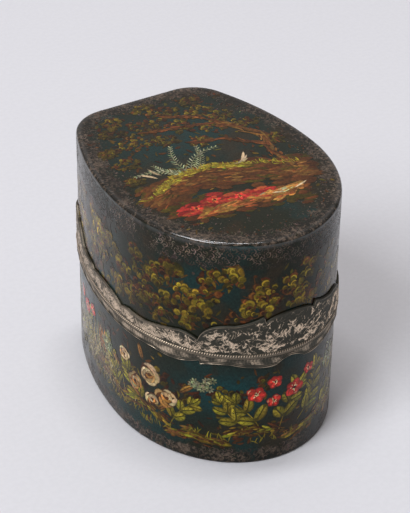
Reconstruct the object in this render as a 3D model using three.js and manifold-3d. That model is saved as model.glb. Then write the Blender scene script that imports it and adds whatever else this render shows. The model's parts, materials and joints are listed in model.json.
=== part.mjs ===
// Small lacquered necessaire case with chased silver mounts, a flush barrel hinge at the flat back,
// an inner collar that the lid closes over, and a lined base with three dividers.
// Millimetres, +Z up. The origin is the middle of the underside, the rounded nose points to -Y
// and the hinge is at +Y.

import * as THREE from 'three';
import Module from 'manifold-3d';
import { mergeVertices } from 'three/addons/utils/BufferGeometryUtils.js';

const wasm = await Module();
wasm.setup();

// Body of the case
const caseHeight = 58;
const jointHeight = 29;
const caseLength = 65.6;
const caseWidth = 50;
const widestFromBack = 35.2;
const backWidth = 31.2;
const backCornerRadius = 9.8;
const wallThickness = 2.6;
const panelThickness = 2.4;
const panelFit = 0.05;
const lidArrisRadius = 0.8;
const footEdgeRadius = 0.5;
const jointGap = 0.1;

// Silver mounts
const mountThickness = 0.45;
const mountFit = 0.08;

// The lid mount's upper edge. Both crests are a low arch between two teeth. Each row is a curve:
// its control point and its end, as a distance and a height above the joint. A front row's distance
// is from the middle of the nose, a back row's from the middle of the back, and a side row's is a
// share of the way between the crests.
const crestHeight = 10.8;
const crestArchHalf = 6;
const crestFoot = 9.2;
const archFullness = 0.67;
const toothStep = 0.4;
const toothTop = 10.6;
const frontCrestRows = [
  [9, 9.2, 12.5, 8.6],
  [19.3, 8.6, 20.3, 4.1],
];
const sideRows = [
  [0.05, 5.5, 0.11, 5.4],
  [0.2, 4.7, 0.29, 4],
  [0.37, 3.7, 0.43, 4.2],
  [0.475, 4, 0.5, 3.4],
  [0.56, 5, 0.64, 5],
  [0.76, 5.2, 0.82, 4.4],
  [0.84, 5.1, 0.88, 5.1],
  [0.95, 5, 1, 5.4],
];
const backCrestHalf = 31.9;
const backCrestRows = [
  [27.9, 8.6, 25.5, 8.6],
  [24.3, 8.6, 22.3, 10.4],
  [19.3, 8.6, 12, 8.6],
  [8, 8.6, 6.4, 10.6],
];

// The base mount's lower edge, the same way, as a depth below the joint. A cleft parts the lobes
// of the nose, and the band deepens at the back, where it covers the hinge leaf.
const baseNoseDepth = 0.9;
const baseNoseRows = [
  [1.8, 1, 3.4, 2.4],
  [6.5, 3, 13, 1.6],
  [17, 1.4, 19.7, 2.2],
];
const baseCleft = [19.9, 1.2];
const baseSideRows = [
  [22.9, 2.5, 26.7, 2.5],
  [29, 2.3, 31.2, 1.9],
];
const baseBandEnd = [26, 1.9];
const baseBackRows = [
  [22, 1.9, 21, 2.8],
  [18, 5.4, 13, 5.4],
];

// Rope border
const ropeHalfHeight = 0.35;
const ropeAboveJoint = 0.8;
const ropeProud = 0.24;
const ropeFit = 0.03;

// Mount pins
const pinShankRadius = 0.26;
const pinHeadRadius = 0.42;
const pinHeadProud = 0.16;
const pinLength = 2.1;
const pinHoleClearance = 0.06;
const pinHeadSeat = 0.02;
const pinDomeShare = 0.7;
const pinDomeHeightShare = 0.8;
const pinHoleReach = 1;
const pinSides = 8;
const lidPinDistances = [11.5, 30, 49, 68];
const lidPinAboveJoint = 2.4;
const basePinDistances = [8.5, 27, 47, 67];
const basePinBelowJoint = 0.95;

// Collar and lining
const collarThickness = 0.6;
const collarClearance = 0.25;
const collarAboveJoint = 3.2;
const collarBelowJoint = 7;
const collarLead = 0.25;
const liningThickness = 0.7;
const liningFit = 0.3;
const baseLiningBelowCollar = 1.6;
const lidLiningAboveCollar = 0.5;
const lidLiningFit = 0.15;

// Dividers
const dividerThickness = 1.6;
const dividerFit = 0.15;
const dividerBelowJoint = 0.5;
const frontDividerFromBack = 45;
const backDividerFromBack = 23.5;
const housingDepth = 0.5;

// Hinge
const knuckleCount = 5;
const hingeLength = 18.4;
const knuckleRadius = 1.1;
const knuckleGap = 0.15;
const knuckleClearance = 0.15;
const hingeAxisInset = 1.15;
const hingePinRadius = 0.45;
const hingePinClearance = 0.06;
const hingePinProud = 0.15;
const hingePinEndRadius = 0.27;
const leafDepth = 1.3;
const leafHeight = 4;
const leafFit = 0.15;
const hingeStopAngle = 104;
const webInward = 0.88;
const webOutward = 0.44;
const grooveReach = 4.6;

// Facets
const wallStations = 96;
const mountStationStep = 1.5;
const curveSteps = 4;
const barrelSides = 20;
const weldDistance = 1e-5;
const cutOvershoot = 1;

const backY = (caseLength + ropeFit + ropeProud) / 2;
const widestY = backY - widestFromBack;
const wallInside = -wallThickness;
const collarOutside = wallInside - collarClearance;
const collarInside = collarOutside - collarThickness;
const liningOutside = collarInside - liningFit;
const liningInside = liningOutside - liningThickness;
const mountInside = mountFit;
const mountOutside = mountFit + mountThickness;
const hingeAxisY = backY + mountOutside - hingeAxisInset;
const hingeAxisZ = jointHeight - jointGap / 2;
const frontDividerY = backY - frontDividerFromBack;
const backDividerY = backY - backDividerFromBack;

const lacquer = new THREE.MeshStandardMaterial({ color: 0x1c2624, roughness: 0.22, metalness: 0 });
const silver = new THREE.MeshStandardMaterial({ color: 0x8f8782, roughness: 0.38, metalness: 1 });
const silk = new THREE.MeshStandardMaterial({ color: 0x7a1f24, roughness: 0.8, metalness: 0 });
const steel = new THREE.MeshStandardMaterial({ color: 0x9a9894, roughness: 0.35, metalness: 1 });

// The plan of the case, from the middle of the back round by -X: half the flat back, a corner arc,
// a bowed side arc, the half ellipse of the nose, and the same again in mirror image.
function planCurve() {
  const halfWidth = caseWidth / 2;
  const sideRise = (caseWidth - backWidth) / 2;
  const sideRadius = (widestFromBack ** 2 + sideRise ** 2) / (2 * sideRise);
  const sideCentreX = halfWidth - sideRadius;
  const cornerY = backY - backCornerRadius;
  const cornerReach = sideRadius - backCornerRadius;
  const cornerX = sideCentreX + Math.sqrt(cornerReach ** 2 - (cornerY - widestY) ** 2);
  const cornerAngle = Math.atan2(cornerY - widestY, cornerX - sideCentreX);
  const noseReach = caseLength - widestFromBack;
  const arc = (x, y, radius, from, to) => new THREE.EllipseCurve(x, y, radius, radius, from, to);
  const middle = new THREE.Vector2(0, backY);
  const curve = new THREE.CurvePath();
  curve.add(new THREE.LineCurve(middle, new THREE.Vector2(-cornerX, backY)));
  curve.add(arc(-cornerX, cornerY, backCornerRadius, Math.PI / 2, Math.PI - cornerAngle));
  curve.add(arc(-sideCentreX, widestY, sideRadius, Math.PI - cornerAngle, Math.PI));
  curve.add(new THREE.EllipseCurve(0, widestY, halfWidth, noseReach, Math.PI, 2 * Math.PI));
  curve.add(arc(sideCentreX, widestY, sideRadius, 0, cornerAngle));
  curve.add(arc(cornerX, cornerY, backCornerRadius, cornerAngle, Math.PI / 2));
  curve.add(new THREE.LineCurve(new THREE.Vector2(cornerX, backY), middle));
  return curve;
}

const plan = planCurve();
const planLength = plan.getLength();
const halfPlanLength = planLength / 2;

// A station is a place on the wall's outer face: its point, its outward normal, and its distance
// from the middle of the nose along the wall, positive towards +X.
function stationAt(fromNose) {
  const share = THREE.MathUtils.clamp(0.5 + fromNose / planLength, 0, 1);
  const point = plan.getPoint(share);
  const tangent = plan.getTangent(share);
  return { fromNose, x: point.x, y: point.y, nx: tangent.y, ny: -tangent.x };
}

function evenStations(count) {
  const stations = [];
  for (let i = 0; i < count; i += 1) {
    stations.push(stationAt((i / count - 0.5) * planLength));
  }
  return stations;
}

const evenWall = evenStations(wallStations);

// Sweeps a section round the stations. The section is a list of [offset outwards, height] and may
// change with the station. A ring's section closes on itself; a solid's is closed by two flat caps.
// Sections run anticlockwise with the offset to the right and the height up.
function sweep(stations, sectionAt, closed) {
  const count = stations.length;
  const positions = [];
  for (const station of stations) {
    for (const [offset, height] of sectionAt(station)) {
      positions.push(station.x + station.nx * offset, station.y + station.ny * offset, height);
    }
  }
  const size = positions.length / 3 / count;
  const bands = closed ? size : size - 1;
  const indices = [];
  for (let i = 0; i < count; i += 1) {
    const next = (i + 1) % count;
    for (let k = 0; k < bands; k += 1) {
      const above = (k + 1) % size;
      const a = i * size + k;
      const b = next * size + k;
      const c = next * size + above;
      const d = i * size + above;
      indices.push(a, b, c, a, c, d);
    }
  }
  if (!closed) {
    addCap(positions, indices, count, size, 0, true);
    addCap(positions, indices, count, size, size - 1, false);
  }
  const geometry = new THREE.BufferGeometry();
  geometry.setAttribute('position', new THREE.Float32BufferAttribute(positions, 3));
  geometry.setIndex(indices);
  return geometry;
}

function addCap(positions, indices, count, size, level, facingDown) {
  const contour = [];
  for (let i = 0; i < count; i += 1) {
    const at = 3 * (i * size + level);
    contour.push(new THREE.Vector2(positions[at], positions[at + 1]));
  }
  for (const [a, b, c] of THREE.ShapeUtils.triangulateShape(contour, [])) {
    const corners = facingDown ? [c, b, a] : [a, b, c];
    indices.push(...corners.map((corner) => corner * size + level));
  }
}

function ring(section) {
  return sweep(evenWall, () => section, true);
}

function solid(section) {
  return sweep(evenWall, () => section, false);
}

// Points of a quarter round from one angle to another, in degrees, about [offset, height].
function roundedEdge(centreOffset, centreHeight, radius, from, to) {
  const points = [];
  for (let i = 0; i <= curveSteps; i += 1) {
    const angle = THREE.MathUtils.degToRad(from + ((to - from) * i) / curveSteps);
    points.push([centreOffset + radius * Math.cos(angle), centreHeight + radius * Math.sin(angle)]);
  }
  return points;
}

function asManifold(geometry) {
  const bare = new THREE.BufferGeometry();
  bare.setAttribute('position', geometry.getAttribute('position').clone());
  if (geometry.index) {
    bare.setIndex(geometry.index.clone());
  }
  const merged = mergeVertices(bare, weldDistance);
  return new wasm.Manifold(
    new wasm.Mesh({
      numProp: 3,
      vertProperties: new Float32Array(merged.getAttribute('position').array),
      triVerts: new Uint32Array(merged.index.array),
    }),
  );
}

function asGeometry(manifold) {
  const mesh = manifold.getMesh();
  const geometry = new THREE.BufferGeometry();
  geometry.setAttribute('position', new THREE.BufferAttribute(mesh.vertProperties, 3));
  geometry.setIndex(new THREE.BufferAttribute(mesh.triVerts, 1));
  return geometry;
}

function join(pieces) {
  return pieces.map(asManifold).reduce((whole, piece) => whole.add(piece));
}

function cut(geometry, tools) {
  const cutter = join(tools);
  return asGeometry(asManifold(geometry).subtract(cutter));
}

// A box between two corners.
function block(low, high) {
  const size = high.map((value, i) => value - low[i]);
  const geometry = new THREE.BoxGeometry(...size);
  return geometry.translate(...low.map((value, i) => value + size[i] / 2));
}

// A round bar along X, centred on the hinge axis.
function barOnAxis(radius, fromX, toX) {
  const bar = new THREE.CylinderGeometry(radius, radius, toX - fromX, barrelSides);
  bar.rotateZ(Math.PI / 2);
  return bar.translate((fromX + toX) / 2, hingeAxisY, hingeAxisZ);
}

// The groove that both halves leave open behind the hinge axis, so that the lid can swing back.
// Its two bevels come face to face when the lid reaches the stop angle.
function swingGroove() {
  const bevelFromUpright = THREE.MathUtils.degToRad((180 - hingeStopAngle) / 2);
  const rise = grooveReach / Math.tan(bevelFromUpright);
  const wedge = new THREE.Shape();
  wedge.moveTo(0, 0);
  wedge.lineTo(grooveReach, -rise);
  wedge.lineTo(grooveReach, rise);
  wedge.closePath();
  const geometry = new THREE.ExtrudeGeometry(wedge, { depth: caseWidth, bevelEnabled: false });
  geometry.translate(0, 0, -caseWidth / 2);
  geometry.rotateX(Math.PI / 2);
  geometry.rotateZ(Math.PI / 2);
  return geometry.translate(0, hingeAxisY, hingeAxisZ);
}

// The pocket in both walls that takes the two hinge leaves and the barrel.
function leafPocket() {
  const half = hingeLength / 2 + leafFit;
  const tall = leafHeight + leafFit;
  return block(
    [-half, hingeAxisY - leafDepth - leafFit, hingeAxisZ - tall],
    [half, backY + wallThickness, hingeAxisZ + tall],
  );
}

function knuckleSpan(index) {
  const length = (hingeLength - (knuckleCount - 1) * knuckleGap) / knuckleCount;
  const from = -hingeLength / 2 + index * (length + knuckleGap);
  return [from, from + length];
}

// One leaf of the hinge: a bar let into the wall, hollowed for the barrel, with its own knuckles
// joined to it by webs. side is -1 for the base's leaf and 1 for the lid's.
function hingeLeaf(side, firstKnuckle) {
  const half = hingeLength / 2;
  const near = hingeAxisZ + (side * jointGap) / 2;
  const far = hingeAxisZ + side * leafHeight;
  const bar = block(
    [-half, hingeAxisY - leafDepth, Math.min(near, far)],
    [half, backY - leafFit, Math.max(near, far)],
  );
  const cutHalf = half + cutOvershoot;
  const channel = barOnAxis(knuckleRadius + knuckleClearance, -cutHalf, cutHalf);
  let leaf = asManifold(cut(bar, [channel, swingGroove()]));
  const webReach = knuckleRadius + 2 * knuckleClearance + leafFit;
  for (let index = firstKnuckle; index < knuckleCount; index += 2) {
    const [from, to] = knuckleSpan(index);
    const webEnd = hingeAxisZ + side * webReach;
    const web = block(
      [from, hingeAxisY - webInward, Math.min(hingeAxisZ, webEnd)],
      [to, hingeAxisY + webOutward, Math.max(hingeAxisZ, webEnd)],
    );
    leaf = leaf.add(join([barOnAxis(knuckleRadius, from, to), web]));
  }
  const bore = barOnAxis(hingePinRadius + hingePinClearance, -cutHalf, cutHalf);
  return asGeometry(leaf.subtract(asManifold(bore)));
}

// The pin of the hinge, with a low rounded head at each end of the barrel.
function hingePin() {
  const half = hingeLength / 2;
  const points = [new THREE.Vector2(0, -half - hingePinProud)];
  points.push(new THREE.Vector2(hingePinEndRadius, -half - hingePinProud));
  points.push(new THREE.Vector2(hingePinRadius, -half));
  points.push(new THREE.Vector2(hingePinRadius, half));
  points.push(new THREE.Vector2(hingePinEndRadius, half + hingePinProud));
  points.push(new THREE.Vector2(0, half + hingePinProud));
  const geometry = new THREE.LatheGeometry(points, barrelSides);
  geometry.rotateZ(Math.PI / 2);
  return geometry.translate(0, hingeAxisY, hingeAxisZ);
}

// Adds curves to an edge, from rows of control and end. place turns a row's distance into the
// distance from the middle of the nose.
function addRows(edge, rows, place) {
  for (const [control, controlHeight, end, endHeight] of rows) {
    edge.quadraticCurveTo(place(control), controlHeight, place(end), endHeight);
  }
}

const fromFront = (distance) => distance;
const fromBack = (distance) => halfPlanLength - distance;

// The shaped upper edge of the lid mount, from the middle of the nose to the middle of the back:
// distance along the wall and height above the joint.
function lidMountEdge() {
  const edge = new THREE.Path();
  const sideStart = frontCrestRows[frontCrestRows.length - 1][2];
  const sideLength = fromBack(backCrestHalf) - sideStart;
  const archControl = crestArchHalf * archFullness;
  edge.moveTo(0, crestHeight);
  edge.quadraticCurveTo(archControl, crestHeight, crestArchHalf, crestFoot);
  edge.lineTo(crestArchHalf + toothStep, toothTop);
  addRows(edge, frontCrestRows, fromFront);
  addRows(edge, sideRows, (share) => sideStart + share * sideLength);
  addRows(edge, backCrestRows, fromBack);
  edge.lineTo(fromBack(crestArchHalf), crestFoot);
  edge.quadraticCurveTo(fromBack(archControl), crestHeight, halfPlanLength, crestHeight);
  return edge;
}

// The shaped lower edge of the base mount, the same way.
function baseMountEdge() {
  const edge = new THREE.Path();
  const [cleftAt, cleftDepth] = baseCleft;
  const [bandEnd, bandDepth] = baseBandEnd;
  const backDepth = baseBackRows[baseBackRows.length - 1][3];
  edge.moveTo(0, baseNoseDepth);
  addRows(edge, baseNoseRows, fromFront);
  edge.lineTo(cleftAt, cleftDepth);
  addRows(edge, baseSideRows, fromFront);
  edge.lineTo(fromBack(bandEnd), bandDepth);
  addRows(edge, baseBackRows, fromBack);
  edge.lineTo(halfPlanLength, backDepth);
  return edge;
}

// Points of a shaped edge on both halves of the case, no further apart than a step, in order from
// the middle of the back round by -X. Each is a station with its reach from the joint.
function edgeStations(path) {
  const half = path.curves.flatMap((curve) => {
    const steps = Math.max(1, Math.ceil(curve.getLength() / mountStationStep));
    return Array.from({ length: steps }, (_, i) => curve.getPoint(i / steps));
  });
  const back = path.curves[path.curves.length - 1].getPoint(1);
  const left = [back, ...half.slice(1).reverse()];
  return [
    ...left.map((point) => ({ ...stationAt(-point.x), reach: point.y })),
    ...half.map((point) => ({ ...stationAt(point.x), reach: point.y })),
  ];
}

const lidEdge = edgeStations(lidMountEdge());
const baseEdge = edgeStations(baseMountEdge());

// The silver bands: a straight edge at the joint, the other edge shaped.
function lidMount() {
  const sectionAt = ({ reach }) => [
    [mountInside, jointHeight],
    [mountOutside, jointHeight],
    [mountOutside, jointHeight + reach],
    [mountInside, jointHeight + reach],
  ];
  return sweep(lidEdge, sectionAt, true);
}

function baseMount() {
  const high = jointHeight - jointGap;
  const sectionAt = ({ reach }) => [
    [mountInside, high - reach],
    [mountOutside, high - reach],
    [mountOutside, high],
    [mountInside, high],
  ];
  return sweep(baseEdge, sectionAt, true);
}

// The rope border: a half-round wire on the lid mount, just above the joint.
function ropeBorder() {
  const flat = mountOutside + ropeFit;
  const middle = jointHeight + ropeAboveJoint;
  const section = [];
  for (let i = 0; i <= curveSteps; i += 1) {
    const angle = -Math.PI / 2 + (Math.PI * i) / curveSteps;
    section.push([flat + ropeProud * Math.cos(angle), middle + ropeHalfHeight * Math.sin(angle)]);
  }
  return sweep(lidEdge, () => section, true);
}

// A pin driven square into the wall through a mount, and the hole that takes it.
function mountPin(fromNose, height, radiusExtra) {
  const seat = mountOutside + (radiusExtra ? pinHoleReach : pinHeadSeat);
  const tip = mountOutside - pinLength - radiusExtra;
  const shank = pinShankRadius + radiusExtra;
  const profile = [
    [0, tip],
    [shank, tip],
    [shank, seat],
  ];
  if (radiusExtra === 0) {
    profile.push([pinHeadRadius, seat]);
    profile.push([pinHeadRadius * pinDomeShare, seat + pinHeadProud * pinDomeHeightShare]);
    profile.push([0, seat + pinHeadProud]);
  } else {
    profile.push([0, seat]);
  }
  const outline = profile.map(([radius, along]) => new THREE.Vector2(radius, along));
  const pin = new THREE.LatheGeometry(outline, pinSides);
  const station = stationAt(fromNose);
  pin.rotateZ(-Math.PI / 2);
  pin.rotateZ(Math.atan2(station.ny, station.nx));
  return pin.translate(station.x, station.y, height);
}

function pinPlaces(distances, height) {
  return distances.flatMap((distance) => [
    [-distance, height],
    [distance, height],
  ]);
}

function pinHoles(places) {
  return places.map(([fromNose, height]) => mountPin(fromNose, height, pinHoleClearance));
}

function baseWall() {
  const top = jointHeight - jointGap;
  return ring([
    [wallInside, 0],
    ...roundedEdge(-footEdgeRadius, footEdgeRadius, footEdgeRadius, 270, 360),
    [0, top],
    [wallInside, top],
  ]);
}

function lidWall() {
  return ring([
    [wallInside, jointHeight],
    [0, jointHeight],
    ...roundedEdge(-lidArrisRadius, caseHeight - lidArrisRadius, lidArrisRadius, 0, 90),
    [wallInside, caseHeight],
  ]);
}

// A panel let into the wall, flush with its end.
function panel(bottom) {
  const edge = wallInside - panelFit;
  return solid([
    [edge, bottom],
    [edge, bottom + panelThickness],
  ]);
}

function collar() {
  const low = jointHeight - collarBelowJoint;
  const high = jointHeight + collarAboveJoint;
  return ring([
    [collarInside, low],
    [collarOutside, low],
    [collarOutside, high - collarLead],
    [collarOutside - collarLead, high],
    [collarInside, high],
  ]);
}

const baseLiningFloor = panelThickness + liningFit;
const baseLiningTop = jointHeight + collarAboveJoint - baseLiningBelowCollar;

function baseLining() {
  return solid([
    [liningOutside, baseLiningFloor],
    [liningOutside, baseLiningTop],
    [liningInside, baseLiningTop],
    [liningInside, baseLiningFloor + liningThickness],
  ]);
}

function lidLining() {
  const low = jointHeight + collarAboveJoint + lidLiningAboveCollar;
  const high = caseHeight - panelThickness - lidLiningFit;
  const outside = wallInside - lidLiningFit;
  const inside = outside - liningThickness;
  return solid([
    [inside, high - liningThickness],
    [inside, low],
    [outside, low],
    [outside, high],
  ]);
}

// The space inside the lining, which the dividers stand in.
function dividerSpace() {
  const edge = liningInside - dividerFit;
  return solid([
    [edge, baseLiningFloor + liningThickness + dividerFit],
    [edge, jointHeight - dividerBelowJoint],
  ]);
}

// A board across the case, with a shallow housing for the end of the middle board.
function crossDivider(y, housingSide) {
  const half = dividerThickness / 2;
  const wide = caseWidth / 2;
  const board = block([-wide, y - half, 0], [wide, y + half, caseHeight]);
  const housingHalf = half + dividerFit;
  const face = y + housingSide * half;
  const housing = block(
    [-housingHalf, face - housingDepth, -cutOvershoot],
    [housingHalf, face + housingDepth, caseHeight + cutOvershoot],
  );
  const fitted = asManifold(board).intersect(asManifold(dividerSpace()));
  return asGeometry(fitted.subtract(asManifold(housing)));
}

function middleDivider() {
  const half = dividerThickness / 2;
  const inHousing = half - housingDepth + dividerFit;
  const board = block(
    [-half, frontDividerY + inHousing, 0],
    [half, backDividerY - inHousing, caseHeight],
  );
  return asGeometry(asManifold(board).intersect(asManifold(dividerSpace())));
}

const lidPins = pinPlaces(lidPinDistances, jointHeight + lidPinAboveJoint);
const basePins = pinPlaces(basePinDistances, jointHeight - jointGap - basePinBelowJoint);

const model = new THREE.Group();
const base = new THREE.Group();
const lid = new THREE.Group();
model.add(base, lid);

function add(group, name, geometry, material) {
  const mesh = new THREE.Mesh(geometry, material);
  mesh.name = name;
  group.add(mesh);
}

add(base, 'base_wall', cut(baseWall(), [leafPocket(), swingGroove(), ...pinHoles(basePins)]), lacquer);
add(base, 'base_floor', panel(0), lacquer);
add(base, 'base_mount', cut(baseMount(), [swingGroove(), ...pinHoles(basePins)]), silver);
add(base, 'base_collar', collar(), silver);
add(base, 'base_hinge_leaf', hingeLeaf(-1, 0), silver);
add(base, 'hinge_pin', hingePin(), steel);
add(base, 'base_lining', baseLining(), silk);
add(base, 'front_divider', crossDivider(frontDividerY, 1), silk);
add(base, 'back_divider', crossDivider(backDividerY, -1), silk);
add(base, 'middle_divider', middleDivider(), silk);

add(lid, 'lid_wall', cut(lidWall(), [leafPocket(), swingGroove(), ...pinHoles(lidPins)]), lacquer);
add(lid, 'lid_top', panel(caseHeight - panelThickness), lacquer);
add(lid, 'lid_mount', cut(lidMount(), [swingGroove(), ...pinHoles(lidPins)]), silver);
add(lid, 'lid_rope_border', cut(ropeBorder(), [swingGroove()]), silver);
add(lid, 'lid_hinge_leaf', hingeLeaf(1, 1), silver);
add(lid, 'lid_lining', lidLining(), silk);

basePins.forEach(([fromNose, height], i) => {
  add(base, `base_mount_pin_${i + 1}`, mountPin(fromNose, height, 0), silver);
});
lidPins.forEach(([fromNose, height], i) => {
  add(lid, `lid_mount_pin_${i + 1}`, mountPin(fromNose, height, 0), silver);
});

export default model;
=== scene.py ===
"""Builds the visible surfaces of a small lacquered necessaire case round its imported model.

Everything is in metres, in the frame of the model: +Z is up, the origin is the middle of the
underside, the rounded nose points to -Y and the hinged flat back to +Y. Places on the wall are given
as the distance round it from the middle of the nose, positive towards +X, and the height.
"""

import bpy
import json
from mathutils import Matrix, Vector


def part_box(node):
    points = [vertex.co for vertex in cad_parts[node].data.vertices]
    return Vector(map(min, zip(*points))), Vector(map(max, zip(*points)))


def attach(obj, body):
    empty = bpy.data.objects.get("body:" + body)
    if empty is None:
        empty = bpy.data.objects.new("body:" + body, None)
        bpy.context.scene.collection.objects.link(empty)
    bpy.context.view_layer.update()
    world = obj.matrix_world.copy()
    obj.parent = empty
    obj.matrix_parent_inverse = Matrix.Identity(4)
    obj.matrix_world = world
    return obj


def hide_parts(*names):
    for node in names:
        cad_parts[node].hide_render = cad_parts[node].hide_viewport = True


bl_info = {
    "name": "Lacquered necessaire case",
    "version": (1, 0, 0),
    "blender": (4, 5, 0),
    "location": "View3D > Sidebar > Case",
    "description": "Makes the lacquer, painting, chased silver and silk of a small hinged case",
    "category": "Object",
}

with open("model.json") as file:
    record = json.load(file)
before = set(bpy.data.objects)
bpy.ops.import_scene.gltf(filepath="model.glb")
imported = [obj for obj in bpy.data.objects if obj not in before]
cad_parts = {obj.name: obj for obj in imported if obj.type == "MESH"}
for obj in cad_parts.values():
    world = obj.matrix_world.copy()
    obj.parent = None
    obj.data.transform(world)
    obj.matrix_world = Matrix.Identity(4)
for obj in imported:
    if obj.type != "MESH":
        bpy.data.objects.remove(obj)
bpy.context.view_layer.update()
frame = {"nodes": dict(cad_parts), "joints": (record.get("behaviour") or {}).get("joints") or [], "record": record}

import json
import math

import bpy
import numpy as np
from bpy.props import FloatProperty, FloatVectorProperty, IntProperty, PointerProperty
from mathutils import Matrix, Quaternion, Vector

MM = 0.001

# The walls and their joint, read from the frame
LID_LOW, LID_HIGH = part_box("lid_wall")
HALF_WIDTH = LID_HIGH.x
NOSE_Y = LID_LOW.y
BACK_Y = LID_HIGH.y
JOINT_Z = LID_LOW.z
TOP_Z = LID_HIGH.z
BASE_TOP_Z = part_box("base_wall")[1].z
AXIS_Y = frame["joints"][0]["pos_m"][1]

# The plan of the wall
WIDEST_FROM_BACK = 35.2 * MM
BACK_WIDTH = 31.2 * MM
CORNER_RADIUS = 9.8 * MM
WALL = 2.6 * MM
PANEL = 2.4 * MM
ARRIS_RADIUS = 0.8 * MM
FOOT_RADIUS = 0.5 * MM
WIDEST_Y = BACK_Y - WIDEST_FROM_BACK
PLAN_CENTRE = np.array([0.0, -2.0 * MM])

# The flush hinge: its pocket in both walls and the swing groove behind its axis
POCKET_HALF = 9.35 * MM
POCKET_HEIGHT = 4.15 * MM
POCKET_BEFORE_AXIS = 1.45 * MM
POCKET_FACE = AXIS_Y - POCKET_BEFORE_AXIS - BACK_Y
GROOVE_STOP = math.radians(104)
GROOVE_SLOPE = 1 / math.tan((math.pi - GROOVE_STOP) / 2)

# The back and front of the silver bands, as distances out from the wall's face
BAND_INSIDE = 0.08 * MM
BAND_OUTSIDE = 0.53 * MM

# How far round from the nose the lid band's front crest ends, in millimetres
FRONT_CREST_END = 20.3

# The chasing: the level, 0 to 1, that lies on the band's front, and the width of an engraved line
MEAN_LEVEL = 0.45
ENGRAVED_LINE = 0.09 * MM

# The rope: its height, how far it is let into the band, and the groove's rise where it ends
ROPE_Z = JOINT_Z + 0.8 * MM
ROPE_SEAT = 0.06 * MM
ROPE_END_RISE = 0.42 * MM

# The section of a pin, from the crown of its head to the end of its shank: radius and distance out
PIN_PROFILE = MM * np.array([[0.18, 0.68], [0.33, 0.63], [0.41, 0.55], [0.42, 0.47], [0.26, 0.45],
                             [0.26, -1.4]])

# The lid's top face, a little below the model's, and the layers of paint that it leaves room for
TOP_SURFACE_Z = TOP_Z - 0.08 * MM
PAINT_LIFT = 0.012 * MM
LAYER_LIFT = 0.004 * MM
PAINT_DOME = 0.004 * MM
PAINT_SINK = 0.02 * MM
STROKE_STEPS = 7
BLADE_SIDES = np.array([-1.0, -0.45, 0.45, 1.0, 0.0])
BLADE_RISE = np.array([0.0, PAINT_DOME, PAINT_DOME, 0.0, 0.0])

# Limits of the pictures, in millimetres: heights on the walls, and runs in over the lid's rim
FOLIAGE_TOP = 53.4
SCROLL_LINE_TOP = 57.0
RIM_PAINT = (-1.2, 10.0)
BASE_PAINT = (0.6, 26.3)

# Where the scroll borders carry a painted glint from the lamp at the left, in millimetres round from the nose
GLINT_PLACE = -27

# How many tufts a row of foliage has, specks the top border and petals a blossom
FOLIAGE_TUFTS = 30
BORDER_SPECKS = 900
BLOSSOM_PETALS = 5

# The stage, in metres: its two lamps, the floor and how near and far the camera sees
KEY_PLACE = (-2.48, -0.72, 2.64)
KEY_SIZE = (1.76, 1.76)
TOP_PLACE = (-0.02, 0.07, 1.2)
TOP_SIZE = (0.5, 0.1)
TOP_TURN = math.radians(-30)
FLOOR_REACH = 3.0
NEAREST_SEEN = 0.01
FARTHEST_SEEN = 20.0

# Sampling of the surfaces
PLAN_SAMPLES = 800
OUTLINE_SAMPLES = 700
INSET_PARTS = 40
SHELL_STATIONS = 360
BAND_STATION = 0.15 * MM
LID_BAND_ROWS = 56
BASE_BAND_ROWS = 22
RIDGE_STRIPS = 260
CURVE_SAMPLES = 24
FROND_SAMPLES = 16
ROPE_RINGS = 2200
ROPE_SIDES = 10
PIN_SIDES = 16
PIN_PLACES = 4000
RING_STATIONS = 360
BOARD_RINGS = 40
BOARD_END_SAMPLES = 1500


def linear(red, green, blue):
    """A display colour, 0 to 255, as linear light: c/12.92 when dark, else ((c+0.055)/1.055)^2.4."""
    c = np.array([red, green, blue]) / 255
    return tuple(np.where(c <= 0.04045, c / 12.92, ((c + 0.055) / 1.055) ** 2.4))


def smooth_step(value, low, high):
    """0 below low, 1 above high, and 3t^2 - 2t^3 between."""
    t = np.clip((value - low) / (high - low), 0, 1)
    return t * t * (3 - 2 * t)


def fade_out(value, low, high):
    """1 below low and 0 above high: 1 less the smooth step."""
    return 1 - smooth_step(value, low, high)


# The plan curve


def half_plan():
    """Half of the wall's outline, from the nose round by +X to the middle of the back.

    A quarter ellipse for the nose, a bowed side arc, a corner arc and half of the flat back. Returns
    rows of x, y and the outward normal's x and y.
    """
    side_rise = HALF_WIDTH - BACK_WIDTH / 2
    side_radius = (WIDEST_FROM_BACK**2 + side_rise**2) / (2 * side_rise)
    side_x = HALF_WIDTH - side_radius
    corner_y = BACK_Y - CORNER_RADIUS
    corner_x = side_x + math.sqrt((side_radius - CORNER_RADIUS) ** 2 - (corner_y - WIDEST_Y) ** 2)
    corner_angle = math.atan2(corner_y - WIDEST_Y, corner_x - side_x)
    reach = WIDEST_Y - NOSE_Y
    t = np.linspace(0, math.pi / 2, PLAN_SAMPLES)
    nose = np.stack([HALF_WIDTH * np.sin(t), WIDEST_Y - reach * np.cos(t),
                     np.sin(t) / HALF_WIDTH, -np.cos(t) / reach], 1)
    t = np.linspace(0, corner_angle, PLAN_SAMPLES)
    side = np.stack([side_x + side_radius * np.cos(t), WIDEST_Y + side_radius * np.sin(t),
                     np.cos(t), np.sin(t)], 1)
    t = np.linspace(corner_angle, math.pi / 2, PLAN_SAMPLES)
    corner = np.stack([corner_x + CORNER_RADIUS * np.cos(t), corner_y + CORNER_RADIUS * np.sin(t),
                       np.cos(t), np.sin(t)], 1)
    back = np.array([[0.0, BACK_Y, 0.0, 1.0]])
    rows = np.concatenate([nose, side[1:], corner[1:], back])
    rows[:, 2:] /= np.linalg.norm(rows[:, 2:], axis=1, keepdims=True)
    return rows


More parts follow.
